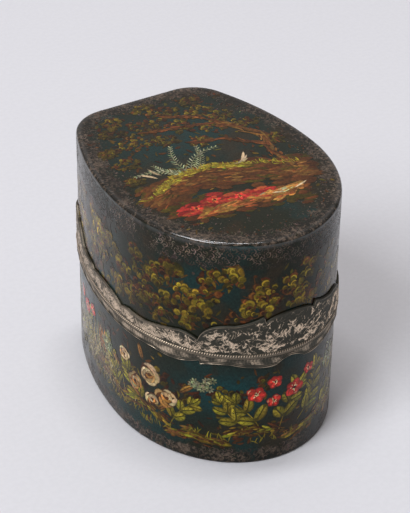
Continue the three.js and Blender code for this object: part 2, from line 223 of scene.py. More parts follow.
HALF_PLAN = half_plan()
HALF_DISTANCE = np.concatenate([[0], np.cumsum(np.hypot(*np.diff(HALF_PLAN[:, :2], axis=0).T))])
HALF_LENGTH = HALF_DISTANCE[-1]
LENGTH = 2 * HALF_LENGTH
HALF_MM = HALF_LENGTH / MM


def wall_frame(distance):
    """x, y and outward normal of the wall at distances round it, by symmetry about the nose."""
    wrapped = (np.asarray(distance) + HALF_LENGTH) % LENGTH - HALF_LENGTH
    side = np.where(wrapped < 0, -1.0, 1.0)
    x, y, nx, ny = (np.interp(np.abs(wrapped), HALF_DISTANCE, HALF_PLAN[:, k]) for k in range(4))
    return side * x, y, side * nx, ny


def on_wall(distance, height, out):
    """Points at a distance round the wall, a height, and a distance out from its face."""
    distance, height, out = np.broadcast_arrays(distance, height, out)
    x, y, nx, ny = wall_frame(distance)
    return np.stack([x + nx * out, y + ny * out, height], -1)


def on_top(across, up, lift):
    """Points on the lid's top face, at x, y and a lift above the lacquer."""
    across, up, lift = np.broadcast_arrays(across, up, lift)
    return np.stack([across, up, TOP_SURFACE_Z + lift], -1)


def on_rim(distance, inward, lift):
    """Points over the lid's rounded edge, by the run in from the line where the top face begins.

    A negative run goes down the round: its angle is the run over the radius.
    """
    distance, inward, lift = np.broadcast_arrays(distance, inward, lift)
    turn = np.clip(-inward / ARRIS_RADIUS, 0, math.pi / 2)
    below = np.maximum(-inward - ARRIS_RADIUS * math.pi / 2, 0)
    round_out = (ARRIS_RADIUS + lift) * np.sin(turn)
    points = on_wall(distance, 0.0, round_out - ARRIS_RADIUS - np.maximum(inward, 0))
    points[..., 2] = TOP_SURFACE_Z - ARRIS_RADIUS + (ARRIS_RADIUS + lift) * np.cos(turn) - below
    return points


def groove_rise(distance, out):
    """Height that the swing groove takes off at the joint: its slope times the reach behind the axis."""
    y = on_wall(distance, 0.0, out)[..., 1]
    return np.maximum(0.0, (y - AXIS_Y) * GROOVE_SLOPE)


# Meshes


def grid_faces(rows, columns, rows_meet, columns_meet):
    """Quads between the rows and columns of a grid, each of which may go round and meet its start."""
    i = np.arange(rows if rows_meet else rows - 1)[:, None]
    k = np.arange(columns if columns_meet else columns - 1)[None, :]
    after = (i + 1) % rows
    above = (k + 1) % columns
    quads = [i * columns + k, after * columns + k, after * columns + above, i * columns + above]
    return np.stack(quads, -1).reshape(-1, 4).tolist()


def fan_faces(stations, size, level, pole, facing_in):
    """Triangles from one level of a grid that goes round to a pole."""
    ring = np.arange(stations) * size + level
    after = np.roll(ring, -1)
    poles = np.full(stations, pole)
    order = [poles, after, ring] if facing_in else [ring, after, poles]
    return np.stack(order, -1).tolist()


def tube_faces(rings, sides):
    """Faces of a tube from its first ring to its last, each shut by one face."""
    last = (rings - 1) * sides
    ends = [list(range(sides)), list(range(last, last + sides))[::-1]]
    return grid_faces(rings, sides, False, True) + ends


def make_piece(name, points, faces, material, body, replaced=(), sharp=35.0):
    """A smooth shaded mesh object that rides on a body and stands for the replaced nodes."""
    mesh = bpy.data.meshes.new(name)
    mesh.from_pydata(points.reshape(-1, 3).tolist(), [], faces)
    mesh.polygons.foreach_set("use_smooth", np.ones(len(mesh.polygons), bool))
    mesh.set_sharp_from_angle(angle=math.radians(sharp))
    mesh.materials.append(material)
    mesh.update()
    piece = bpy.data.objects.new(name, mesh)
    bpy.context.scene.collection.objects.link(piece)
    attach(piece, body)
    if replaced:
        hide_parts(*replaced)
    return piece


def add_values(piece, name, values):
    """A number for each vertex, as an attribute that a material reads."""
    attribute = piece.data.attributes.new(name, "FLOAT", "POINT")
    attribute.data.foreach_set("value", values.astype(np.float32).ravel())


def add_colours(piece, name, colours):
    """A colour for each vertex, as an attribute that a material reads."""
    attribute = piece.data.attributes.new(name, "FLOAT_COLOR", "POINT")
    rgba = np.concatenate([colours, np.ones((len(colours), 1))], 1)
    attribute.data.foreach_set("color", rgba.astype(np.float32).ravel())


def add_surface_map(piece, across, up, period=None):
    """A UV map in millimetres. Where a face crosses the seam, its low corners move on by a period."""
    mesh = piece.data
    corners = np.zeros(len(mesh.loops), int)
    mesh.loops.foreach_get("vertex_index", corners)
    sizes = np.zeros(len(mesh.polygons), int)
    mesh.polygons.foreach_get("loop_total", sizes)
    u = across.ravel()[corners]
    if period:
        face = np.repeat(np.arange(len(sizes)), sizes)
        highest = np.full(len(sizes), -np.inf)
        np.maximum.at(highest, face, u)
        u = np.where(highest[face] - u > period / 2, u + period, u)
    layer = mesh.uv_layers.new(name="surface")
    layer.data.foreach_set("uv", (np.stack([u, up.ravel()[corners]], 1) / MM).ravel())


# Node trees


class Web:
    """A node tree with short calls that add a node and join its inputs."""

    def __init__(self, tree):
        self.tree = tree

    def join(self, socket, value):
        """Links a socket, or sets a number, or a colour with full cover."""
        if isinstance(value, bpy.types.NodeSocket):
            self.tree.links.new(value, socket)
        elif socket.type == "RGBA":
            socket.default_value = (*value, 1.0)
        else:
            socket.default_value = value

    def node(self, kind, inputs=(), **settings):
        """A node of a kind, with its settings, and its inputs by name or number."""
        node = self.tree.nodes.new(kind)
        for key, value in settings.items():
            setattr(node, key, value)
        for key, value in dict(inputs).items():
            self.join(node.inputs[key], value)
        return node

    def maths(self, operation, *values):
        """One number from others."""
        return self.node("ShaderNodeMath", enumerate(values), operation=operation).outputs[0]

    def ramp(self, value, low, high, to_low=0.0, to_high=1.0):
        """A value carried smoothly from one range to another, and held at its ends."""
        inputs = {"Value": value, "From Min": low, "From Max": high, "To Min": to_low, "To Max": to_high}
        return self.node("ShaderNodeMapRange", inputs, interpolation_type="SMOOTHSTEP").outputs["Result"]

    def mix(self, share, first, second, blend="MIX"):
        """Two colours mixed by a share."""
        inputs = {0: share, 6: first, 7: second}
        return self.node("ShaderNodeMix", inputs, data_type="RGBA", blend_type=blend).outputs[2]

    def tinted(self, colour, tone):
        """A colour made darker or lighter by a tone."""
        return self.mix(1.0, colour, tone, "MULTIPLY")

    def noise(self, place, scale, detail, roughness=0.55):
        """Cloudy noise about one half, with its scale in waves for each millimetre."""
        inputs = {"Vector": place, "Scale": scale, "Detail": detail, "Roughness": roughness}
        return self.node("ShaderNodeTexNoise", inputs).outputs[0]

    def place(self, shift=(0.0, 0.0, 0.0), stretch=(1.0, 1.0, 1.0)):
        """The object's own coordinates in millimetres, shifted and stretched."""
        source = self.node("ShaderNodeTexCoord").outputs["Object"]
        scale = tuple(value / MM for value in stretch)
        inputs = {"Vector": source, "Location": shift, "Scale": scale}
        return self.node("ShaderNodeMapping", inputs).outputs[0]

    def attribute(self, name, output="Fac"):
        """A value or colour stored on the mesh."""
        return self.node("ShaderNodeAttribute", attribute_name=name).outputs[output]

    def group(self, tree, inputs):
        """The outputs of a node group placed in this tree."""
        return self.node("ShaderNodeGroup", inputs, node_tree=tree).outputs


def new_group(name, inputs, outputs):
    """An empty node group with named sockets, and its input and output nodes."""
    tree = bpy.data.node_groups.new(name, "ShaderNodeTree")
    for socket, kind, default in inputs:
        made = tree.interface.new_socket(socket, in_out="INPUT", socket_type="NodeSocket" + kind)
        if default is not None:
            made.default_value = default
    for socket, kind in outputs:
        tree.interface.new_socket(socket, in_out="OUTPUT", socket_type="NodeSocket" + kind)
    web = Web(tree)
    return tree, web, web.node("NodeGroupInput"), web.node("NodeGroupOutput")


def kept_group(name, build):
    """The named node group, built the first time that it is asked for."""
    return bpy.data.node_groups.get(name) or build(name)


def build_cracks(name):
    """Fine age cracks: the edges of a Voronoi cell net on a bent place, broken up by noise."""
    inputs = [("Place", "Vector", None), ("Scale", "Float", 0.5), ("Width", "Float", 0.05)]
    tree, web, entry, result = new_group(name, inputs, [("Cracks", "Float")])
    place = entry.outputs["Place"]
    wander = web.node("ShaderNodeTexNoise", {"Vector": place, "Scale": 0.35, "Detail": 2.0})
    bent = web.node("ShaderNodeVectorMath", {0: place, 1: wander.outputs["Color"]}, operation="ADD")
    cells = {"Vector": bent.outputs[0], "Scale": entry.outputs["Scale"]}
    net = web.node("ShaderNodeTexVoronoi", cells, feature="DISTANCE_TO_EDGE")
    line = web.ramp(net.outputs["Distance"], 0.0, entry.outputs["Width"], 1.0, 0.0)
    patches = web.ramp(web.noise(place, 0.12, 2.0), 0.48, 0.62)
    web.join(result.inputs["Cracks"], web.maths("MULTIPLY", line, patches))
    return tree


def build_varnish(name):
    """Old varnish: slow ripples, faint brush drag and cracks as a height, and a patchy roughness."""
    inputs = [("Place", "Vector", None), ("Rub", "Float", 0.0)]
    tree, web, entry, result = new_group(name, inputs, [("Height", "Float"), ("Roughness", "Float")])
    place = entry.outputs["Place"]
    age = {"Place": place, "Scale": 0.42, "Width": 0.035}
    cracks = web.group(kept_group("Age cracks", build_cracks), age)["Cracks"]
    height = web.maths("MULTIPLY_ADD", web.noise(place, 2.6, 3.0), 0.10, web.noise(place, 0.22, 2.0))
    web.join(result.inputs["Height"], web.maths("MULTIPLY_ADD", cracks, -0.16, height))
    patchy = web.ramp(web.noise(place, 0.35, 4.0), 0.35, 0.7, 0.17, 0.3)
    web.join(result.inputs["Roughness"], web.maths("MULTIPLY_ADD", entry.outputs["Rub"], 0.05, patchy))
    return tree


def build_tarnish(name):
    """Tarnish on silver: cloudy patches, deepest where the relief is low, and fine scratches."""
    inputs = [("Place", "Vector", None), ("Relief", "Float", 0.5)]
    tree, web, entry, result = new_group(name, inputs, [("Tarnish", "Float"), ("Scratches", "Float")])
    place = entry.outputs["Place"]
    low = web.ramp(entry.outputs["Relief"], 0.15, 0.85, 1.0, 0.0)
    mixed = web.maths("MULTIPLY_ADD", web.noise(place, 0.45, 4.0), 0.3, low)
    mixed = web.maths("MULTIPLY_ADD", web.noise(place, 5.0, 3.0, 0.7), 0.2, mixed)
    web.join(result.inputs["Tarnish"], web.ramp(mixed, 0.25, 1.2))
    streaks = web.node("ShaderNodeMapping", {"Vector": place, "Scale": (0.6, 0.6, 9.0)}).outputs[0]
    web.join(result.inputs["Scratches"], web.noise(streaks, 1.4, 4.0, 0.7))
    return tree


def new_material(name, **constants):
    """A material with one Principled shader, whose constant sockets are set, and its web of nodes."""
    material = bpy.data.materials.new(name)
    material.use_nodes = True
    material.node_tree.nodes.clear()
    web = Web(material.node_tree)
    shader = web.node("ShaderNodeBsdfPrincipled")
    for key, value in constants.items():
        web.join(shader.inputs[key.replace("_", " ")], value)
    web.node("ShaderNodeOutputMaterial", {"Surface": shader.outputs[0]})
    return material, web, shader


def dress(web, shader, colour, height, depth, roughness=None):
    """Joins a colour, a bump height over a depth and, where it varies, a roughness to the shader."""
    bump = web.node("ShaderNodeBump", {"Height": height, "Distance": depth})
    web.join(shader.inputs["Base Color"], colour)
    web.join(shader.inputs["Normal"], bump.outputs[0])
    if roughness is not None:
        web.join(shader.inputs["Roughness"], roughness)


def varnish_over(web, shader, colour, rub, polish=0.0):
    """Dresses a colour with old varnish, which reflects more at a glance and most where polished."""
    varnish = web.group(kept_group("Old varnish", build_varnish), {"Place": web.place(), "Rub": rub})
    glance = web.node("ShaderNodeLayerWeight", {"Blend": 0.5}).outputs["Facing"]
    level = web.ramp(glance, 0.25, 0.8, 0.15, 0.32)
    level = web.maths("MAXIMUM", level, web.maths("MULTIPLY", polish, 0.75))
    web.join(shader.inputs["Specular IOR Level"], level)
    roughness = web.maths("MULTIPLY_ADD", polish, -0.08, varnish["Roughness"])
    dress(web, shader, colour, varnish["Height"], 0.03 * MM, roughness)


def lacquer_material(settings):
    """Green-black lacquer with teal and brown clouds, rubbed brown along its edges."""
    material, web, shader = new_material("lacquer")
    place = web.place()
    ragged = web.maths("MULTIPLY_ADD", web.noise(place, 0.6, 4.0), 2.0, -1.05)
    rub = web.ramp(web.maths("ADD", web.attribute("rub"), ragged), 0.3, 0.75)
    teal = web.ramp(web.noise(web.place((40, 0, 0)), 0.075, 2.0), 0.5, 0.66)
    beside_teal = web.maths("SUBTRACT", 1.0, teal)
    brown = web.ramp(web.noise(web.place((0, 90, 0)), 0.11, 3.0), 0.48, 0.66, 0.0, beside_teal)
    teal = web.maths("MAXIMUM", web.maths("MULTIPLY", teal, 0.45), web.attribute("teal"))
    colour = web.mix(teal, settings.ground, settings.teal)
    colour = web.mix(web.maths("MULTIPLY", brown, 0.7), colour, settings.brown)
    colour = web.tinted(colour, web.ramp(web.noise(place, 1.9, 5.0, 0.65), 0.3, 0.7, 0.7, 1.35))
    drift = web.noise(web.place((15, 35, 0)), 0.2, 3.0)
    specks = web.maths("MULTIPLY_ADD", drift, 0.5, web.noise(place, 1.4, 5.0, 0.72))
    worn = web.mix(web.ramp(specks, 0.72, 0.91), settings.border_dark, settings.border_worn)
    patches = web.ramp(web.noise(place, 0.3, 3.0), 0.3, 0.5, 0.3, 1.0)
    polish = web.maths("MULTIPLY", web.attribute("polish"), patches)
    varnish_over(web, shader, web.mix(rub, colour, worn), rub, polish)
    return material


def paint_material():
    """Oil colour under the same varnish, with its colour on the strokes and thin places worn through."""
    material, web, shader = new_material("painting")
    worn = web.ramp(web.noise(web.place(), 1.5, 4.0), 0.3, 0.7, 0.62, 1.25)
    varnish_over(web, shader, web.tinted(web.attribute("paint", "Color"), worn), 0.1)
    return material


def silver_material(settings, name, relief):
    """Silver that is dark with tarnish in its hollows and bright on what stands up.

    relief is a number, or the name of an attribute.
    """
    material, web, shader = new_material(name, Metallic=1.0)
    level = web.attribute(relief) if isinstance(relief, str) else relief
    tarnish = web.group(kept_group("Tarnish", build_tarnish), {"Place": web.place(), "Relief": level})
    dark = tarnish["Tarnish"]
    colour = web.mix(dark, settings.bright, settings.oxide)
    dress(web, shader, colour, tarnish["Scratches"], 0.012 * MM, web.ramp(dark, 0.0, 1.0, 0.4, 0.58))
    return material


def steel_material(settings):
    """Greyed steel with fine turning marks round the pin."""
    material, web, shader = new_material("hinge_pin_steel", Metallic=1.0)
    rings = web.noise(web.place(stretch=(9.0, 0.3, 0.3)), 1.0, 3.0)
    colour = web.mix(rings, settings.steel, settings.oxide)
    dress(web, shader, colour, rings, 0.008 * MM, web.ramp(rings, 0.3, 0.7, 0.28, 0.45))
    return material


def silk_material(settings):
    """Ribbed silk: warp and weft as crossed waves on the surface map, with faded patches."""
    material, web, shader = new_material("silk", Roughness=0.62, Sheen_Weight=0.35, Sheen_Roughness=0.4)
    source = web.node("ShaderNodeUVMap", uv_map="surface").outputs[0]
    axes = web.node("ShaderNodeSeparateXYZ", {0: source}).outputs
    turns = 2 * math.pi * MM / settings.thread
    warp = web.maths("SINE", web.maths("MULTIPLY", axes[0], turns))
    weft = web.maths("SINE", web.maths("MULTIPLY", axes[1], turns * 0.5))
    weave = web.maths("MULTIPLY_ADD", warp, 0.6, web.maths("MULTIPLY", weft, 0.4))
    faded = web.ramp(web.noise(web.place(), 0.12, 3.0), 0.35, 0.7)
    colour = web.mix(faded, settings.silk, settings.faded_silk)
    dress(web, shader, web.tinted(colour, web.ramp(weave, -1.0, 1.0, 0.72, 1.12)), weave, 0.02 * MM)
    return material


# Lacquered shells


def shell_stations():
    """Distances round the wall with those at the ends of the hinge pocket doubled, and what is in it."""
    edge = HALF_LENGTH - POCKET_HALF
    few = max(4, round(SHELL_STATIONS * POCKET_HALF / LENGTH))
    left = np.linspace(-HALF_LENGTH, -edge, few)
    middle = np.linspace(-edge, edge, SHELL_STATIONS)
    right = np.linspace(edge, HALF_LENGTH, few)[:-1]
    pocket = np.repeat([True, False, True], [len(left), len(middle), len(right)])
    return np.concatenate([left, middle, right]), pocket


def ripple(distance, height, depth, seed):
    """Slow unevenness of hand-made lacquer: a sum of waves of random direction and phase."""
    random = np.random.default_rng(seed)
    total = np.zeros(np.broadcast(distance, height).shape)
    for _ in range(7):
        turns = random.integers(2, 14)
        rise = random.uniform(-0.35, 0.35) / MM
        phase = random.uniform(0, 2 * math.pi)
        total = total + np.sin(2 * math.pi * turns * distance / LENGTH + rise * height + phase)
    return depth * total / 7


def hinged_edge(distance, pocket, joint, side):
    """Columns of the joint face and the wall's first rise, from the inside out.

    side is 1 for the lid, whose wall goes up from the joint, and -1 for the base. Out of the pocket
    they are the inner edge, the pocket's line, the start of the groove's bevel, the bevel's end on
    the face and a point level with the pocket's end. In the pocket they go round its hollow.
    """
    _, y, _, ny = wall_frame(distance)
    behind = (y > AXIS_Y) & (ny > 0.5)
    bevel_out = np.where(behind, (AXIS_Y - y) / np.where(behind, ny, 1.0), 0.0)
    flat = np.zeros_like(distance)
    tall = flat + POCKET_HEIGHT
    deep = flat + POCKET_FACE
    out = [flat - WALL, deep, np.where(pocket, deep, bevel_out), np.where(pocket, deep, 0.0), flat]
    rise = groove_rise(distance, 0.0)
    up = [flat, flat, np.where(pocket, tall / 2, flat), np.where(pocket, tall, rise), tall]
    return [(column, joint + side * value, 1.0) for column, value in zip(out, up)]


def shell_piece(name, columns, stations, poles, material, body, replaced, sharp=35.0):
    """A closed shell from columns of (out, height, share of the way out from the plan's centre).

    Each column goes round the wall. The first and last close on a pole in the middle. Returns the
    piece and its grid of points.
    """
    grid = []
    for out, height, share in columns:
        points = on_wall(stations, height, out)
        points[:, :2] = PLAN_CENTRE + share * (points[:, :2] - PLAN_CENTRE)
        grid.append(points)
    grid = np.stack(grid, 1)
    count, size = grid.shape[:2]
    ends = np.array([[*PLAN_CENTRE, height] for height in poles])
    points = np.concatenate([grid.reshape(-1, 3), ends])
    faces = grid_faces(count, size, True, False)
    faces += fan_faces(count, size, 0, count * size, True)
    faces += fan_faces(count, size, size - 1, count * size + 1, False)
    return make_piece(name, points, faces, material, body, replaced, sharp), grid


def shell_places(piece, stations, columns):
    """A shell's vertices: x, y and z, how far in from the wall's face, and the distance round it.

    How far in is the distance to the nearest of many points of the outline.
    """
    points = np.zeros(3 * len(piece.data.vertices))
    piece.data.vertices.foreach_get("co", points)
    points = points.reshape(-1, 3)
    outline = on_wall(np.linspace(-HALF_LENGTH, HALF_LENGTH, OUTLINE_SAMPLES), 0.0, 0.0)[:, :2]
    inset = [np.hypot(*(part[:, None, :2] - outline[None]).transpose(2, 0, 1)).min(1)
             for part in np.array_split(points, INSET_PARTS)]
    around = np.append(np.repeat(stations, len(columns)), [0.0, 0.0])
    return *points.T, np.concatenate(inset), around


def bare_edge(inset, from_joint):
    """Worn lacquer on the faces at the joint, which fades out within 2 mm of it."""
    return smooth_step(inset, 0.02 * MM, 0.3 * MM) * fade_out(from_joint, 0.2 * MM, 2 * MM)


def make_lid_shell(settings, material):
    """The lid: ceiling, inner wall, joint face, outer wall, rounded arris and top face."""
    stations, pocket = shell_stations()
    ceiling = TOP_Z - PANEL
    shoulder = TOP_SURFACE_Z - ARRIS_RADIUS
    columns = [(-WALL, ceiling, share) for share in (0.35, 0.7, 1.0)]
    columns += [(-WALL, height, 1.0) for height in np.linspace(ceiling, JOINT_Z, 6)[1:-1]]
    columns += hinged_edge(stations, pocket, JOINT_Z, 1)
    for height in np.linspace(JOINT_Z + POCKET_HEIGHT, shoulder, 20)[1:]:
        columns.append((ripple(stations, height, settings.ripple, 3), height, 1.0))
    for turn in np.radians(np.linspace(0, 90, 9))[1:]:
        columns.append((ARRIS_RADIUS * (math.cos(turn) - 1), shoulder + ARRIS_RADIUS * math.sin(turn), 1.0))
    for share in np.linspace(1.0, 0.04, 26)[1:]:
        sag = ripple(stations, share * 9 * MM, settings.ripple, 5) * smooth_step(1 - share, 0.0, 0.15)
        columns.append((-ARRIS_RADIUS, TOP_SURFACE_Z - np.abs(sag), share))
    piece, _ = shell_piece("lid_shell", columns, stations, (ceiling, TOP_SURFACE_Z), material, "lid",
                           ("lid_wall", "lid_top"))
    x, y, z, inset, around = shell_places(piece, stations, columns)
    depth = TOP_Z - z
    face = fade_out(inset, 1.0 * MM, 6.5 * MM) * fade_out(depth, 0.4 * MM, 0.9 * MM)
    wall = 0.45 * fade_out(depth, 0.8 * MM, 4.0 * MM) * fade_out(inset, 0.8 * MM, 1.0 * MM)
    add_values(piece, "rub", np.maximum.reduce([face, wall, bare_edge(inset, z - JOINT_Z)]))
    on_top = 0.6 * np.exp(-(x / MM / 18) ** 2 - ((y / MM - 13) / 13) ** 2) * (depth < 0.2 * MM)
    add_values(piece, "teal", np.maximum(on_top, 0.55 * blot(around, z, -20 * MM, 47 * MM)))
    on_arris = fade_out(depth, ARRIS_RADIUS, 1.6 * ARRIS_RADIUS) * fade_out(inset, 0.9 * MM, 1.1 * MM)
    add_values(piece, "polish", on_arris)


def blot(distance, height, middle, level):
    """A soft patch on the wall: exp(-(across / 12 mm)^2 - (up / 6 mm)^2) from its middle."""
    return np.exp(-((distance - middle) / (12 * MM)) ** 2 - ((height - level) / (6 * MM)) ** 2)


def make_base_shell(settings, material):
    """The base: underside, rounded foot, outer wall, joint face, inner wall and floor."""
    stations, pocket = shell_stations()
    columns = [(-FOOT_RADIUS, 0.0, share) for share in (0.35, 0.7, 1.0)]
    for turn in np.radians(np.linspace(0, 90, 6))[1:]:
        columns.append((FOOT_RADIUS * (math.sin(turn) - 1), FOOT_RADIUS * (1 - math.cos(turn)), 1.0))
    for height in np.linspace(FOOT_RADIUS, BASE_TOP_Z - POCKET_HEIGHT, 20)[1:-1]:
        columns.append((ripple(stations, height, settings.ripple, 4), height, 1.0))
    columns += hinged_edge(stations, pocket, BASE_TOP_Z, -1)[::-1]
    columns += [(-WALL, height, 1.0) for height in np.linspace(BASE_TOP_Z, PANEL, 6)[1:]]
    columns += [(-WALL, PANEL, share) for share in (0.7, 0.35)]
    piece, _ = shell_piece("base_shell", columns, stations, (0.0, PANEL), material, "base",
                           ("base_wall", "base_floor"))
    _, _, z, inset, around = shell_places(piece, stations, columns)
    foot = 0.8 * fade_out(z, 2.4 * MM, 5.2 * MM)
    add_values(piece, "rub", np.maximum(foot, bare_edge(inset, BASE_TOP_Z - z)))
    teal = [blot(around, z, middle * MM, 19 * MM) for middle in (-13, 40, -66, 85)]
    add_values(piece, "teal", np.maximum.reduce(teal))


# Painting


def shades(settings, names):
    """Named colours of the painting as arrays."""
    return [np.array(getattr(settings, name)) for name in names.split()]


def away(across, up, reach, turn, squash=1.0):
    """The place at a reach and a direction from another, with its rise drawn in by a squash."""
    return across + reach * np.cos(turn), up + squash * reach * np.sin(turn)


def beside(across, up, off, angle):
    """The place at a distance to the left of a direction."""
    return across - off * np.sin(angle), up + off * np.cos(angle)


def turns_round(random, count, waver):
    """Directions evenly round a circle from a random start, each a little off its place."""
    even = random.uniform(0, 2 * math.pi) + np.arange(count) * 2 * math.pi / count
    return even + random.normal(0, waver, count)


class Painting:
    """Brush strokes on a picture plane, kept as rows of numbers until they become a mesh.

    A stroke has a middle (across, up), a direction, a length, a width, a bend in radians, a fullness
    (its half width is sin(pi u)^fullness along u), a layer, a share of the soft edge, and a colour at
    its start and its tip.
    """

    def __init__(self, seed):
        self.random = np.random.default_rng(seed)
        self.rows = []

    def add(self, across, up, angle, length, width, colour, tip=None,
            bend=0.0, fullness=0.7, layer=0.0, vary=0.2, fade=1.0):
        """Adds strokes: any number may be an array, and sizes are in millimetres."""
        numbers = np.broadcast_arrays(across, up, angle, length, width, bend, fullness, layer, fade)
        numbers = np.stack([np.atleast_1d(value).astype(float) for value in numbers], 1)
        count = len(numbers)
        normal = self.random.normal
        tone = np.exp(normal(0, vary, (count, 1)) + normal(0, 0.3 * vary, (count, 3)))
        ends = [np.broadcast_to(end, (count, 3)) * tone for end in (colour, colour if tip is None else tip)]
        self.rows.append(np.concatenate([numbers, *ends], 1))

    def mesh_parts(self, place, inside, ground, softness):
        """Points, faces and colours of all strokes, each a thin closed blade that lies on place.

        Along a stroke the direction turns evenly, so its line is the running sum of the direction's
        cosine and sine. Its section has two edges, two domed top points and one below the surface.
        Strokes are left out where inside, a test of their line's points, fails.
        """
        rows = np.concatenate(self.rows)
        across, up, angle, length, _, bend = (rows[:, k, None] for k in range(6))
        u = np.linspace(0, 1, STROKE_STEPS)[None, :]
        between = angle + bend * ((u[:, 1:] + u[:, :-1]) / 2 - 0.5)
        step = length / (STROKE_STEPS - 1)
        half_way = STROKE_STEPS // 2
        lines = []
        for middle, steps in ((across, np.cos(between)), (up, np.sin(between))):
            line = np.concatenate([np.zeros_like(angle), np.cumsum(steps, 1)], 1) * step
            lines.append(middle + line - line[:, half_way:half_way + 1])
        kept = inside(*lines).all(1)
        rows = rows[kept]
        along_x, along_y = (line[kept] for line in lines)
        angle, width, bend, fullness, layer = (rows[:, k, None] for k in (2, 4, 5, 6, 7))
        turned = (angle + bend * (u - 0.5))[:, 1:-1, None]
        half = (0.5 * width * np.maximum(np.sin(math.pi * u), 0) ** fullness)[:, 1:-1, None]
        lift = PAINT_LIFT + (layer + self.random.uniform(0, 0.8, (len(rows), 1))) * LAYER_LIFT
        x = along_x[:, 1:-1, None] - np.sin(turned) * half * BLADE_SIDES
        y = along_y[:, 1:-1, None] + np.cos(turned) * half * BLADE_SIDES
        z = lift[:, :, None] + BLADE_RISE + np.zeros_like(x)
        z[:, :, 4] = -PAINT_SINK
        flat = [np.concatenate([ends[:, :1], body.reshape(len(rows), -1), ends[:, -1:]], 1)
                for ends, body in ((along_x * MM, x * MM), (along_y * MM, y * MM), (lift, z))]
        share = np.concatenate([[0.0], np.repeat(u[0, 1:-1], 5), [1.0]])[None, :, None]
        colours = rows[:, None, 9:12] * (1 - share) + rows[:, None, 12:15] * share
        edge = np.concatenate([[1.0], np.tile([1.0, 0.0, 0.0, 1.0, 1.0], STROKE_STEPS - 2), [1.0]])
        fade = softness * edge[None, :, None] * rows[:, 8, None, None]
        colours = colours * (1 - fade) + np.asarray(ground) * fade
        return place(*flat), stroke_faces(len(rows), STROKE_STEPS - 2), colours.reshape(-1, 3)


def stroke_faces(strokes, rings):
    """Faces of strokes that each have a start point, rings of five points and an end point."""
    k = np.arange(5)
    after = (k + 1) % 5
    level = 1 + 5 * np.arange(rings - 1)[:, None]
    quads = np.stack([level + k, level + 5 + k, level + 5 + after, level + after], -1).reshape(-1, 4)
    last = 1 + 5 * (rings - 1)
    tip = 1 + 5 * rings
    first = np.stack([np.zeros(5, int), 1 + k, 1 + after], 1)
    end = np.stack([last + k, np.full(5, tip), last + after], 1)
    start = (np.arange(strokes) * (tip + 1))[:, None, None]
    triangles = start + np.concatenate([first, end])
    return (start + quads).reshape(-1, 4).tolist() + triangles.reshape(-1, 3).tolist()


def lay_ringlets(painting, across, up, radius, bright):
    """Round leaves: a half-dark disc, and a bright C round its upper left."""
    random = painting.random
    count = len(across)
    bright = bright * np.exp(random.normal(0, 0.28, (count, 1)))
    painting.add(across, up, random.uniform(0, math.pi, count), 2.1 * radius, 1.8 * radius,
                 random.uniform(0.18, 0.55, (count, 1)) * bright, fullness=0.5, layer=1.0)
    turn = math.radians(130) + random.normal(0, 0.7, count)
    width = random.uniform(0.42, 0.7, count) * radius
    painting.add(*away(across, up, 0.5 * radius, turn), turn + math.pi / 2, 2.5 * radius, width, bright,
                 bright * 0.8, bend=3.2, fullness=0.45, layer=2.0)


def lay_leaf(painting, across, up, angle, length, width, light, layer=2.0):
    """A pointed leaf from its stalk end: a dark body, two light halves, side veins and a midrib."""
    bend = painting.random.normal(0, 0.35)
    middle = away(across, up, 0.5 * length, angle)
    painting.add(*middle, angle, 1.06 * length, 1.12 * width, 0.16 * light, 0.2 * light, bend=bend,
                 fullness=0.6, layer=layer, fade=0.3)
    for side, tone in ((1, 1.05), (-1, 0.6)):
        off = side * 0.21 * width
        painting.add(*beside(*middle, off, angle), angle, 0.9 * length, 0.5 * width, 0.45 * tone * light,
                     1.15 * tone * light, bend=bend, layer=layer + 1, vary=0.15)
        for share in (0.35, 0.6):
            vein = beside(*away(across, up, share * length, angle), 1.2 * off, angle)
            painting.add(*vein, angle + side * 0.7, 0.4 * width, 0.07 * width, 0.2 * light, layer=layer + 2)
    painting.add(*middle, angle, 0.9 * length, 0.13 * width, 0.12 * light, bend=bend, fullness=0.4,
                 layer=layer + 2)


def lay_stem(painting, across, up, angle, length, width, colour, bend, pieces, layer=1.0):
    """A long curved stem in short strokes, and its points and directions from the root on."""
    step = length / pieces
    places = []
    for _ in range(pieces):
        turned = angle + bend / pieces / 2
        painting.add(*away(across, up, 0.5 * step, turned), turned, 1.25 * step, width, colour,
                     bend=bend / pieces, fullness=0.3, layer=layer)
        across, up = away(across, up, step, turned)
        angle += bend / pieces
        places.append((across, up, angle))
    return places


def lay_spray(painting, across, up, angle, length, bend, leaf, light, stem, pairs):
    """A stem with pairs of leaves and one at its tip."""
    random = painting.random
    places = lay_stem(painting, across, up, angle, length, 0.3, stem, bend, pairs)
    for index, (x, y, turned) in enumerate(places):
        size = leaf * (1.0 - 0.1 * index)
        for side in (-1, 1):
            lean = turned + side * random.uniform(0.5, 1.0)
            lay_leaf(painting, x, y, lean, size * random.uniform(0.75, 1.15), 0.56 * size,
                     light * random.uniform(0.5, 1.1))
    lay_leaf(painting, *places[-1], leaf * 0.9, 0.4 * leaf, light)


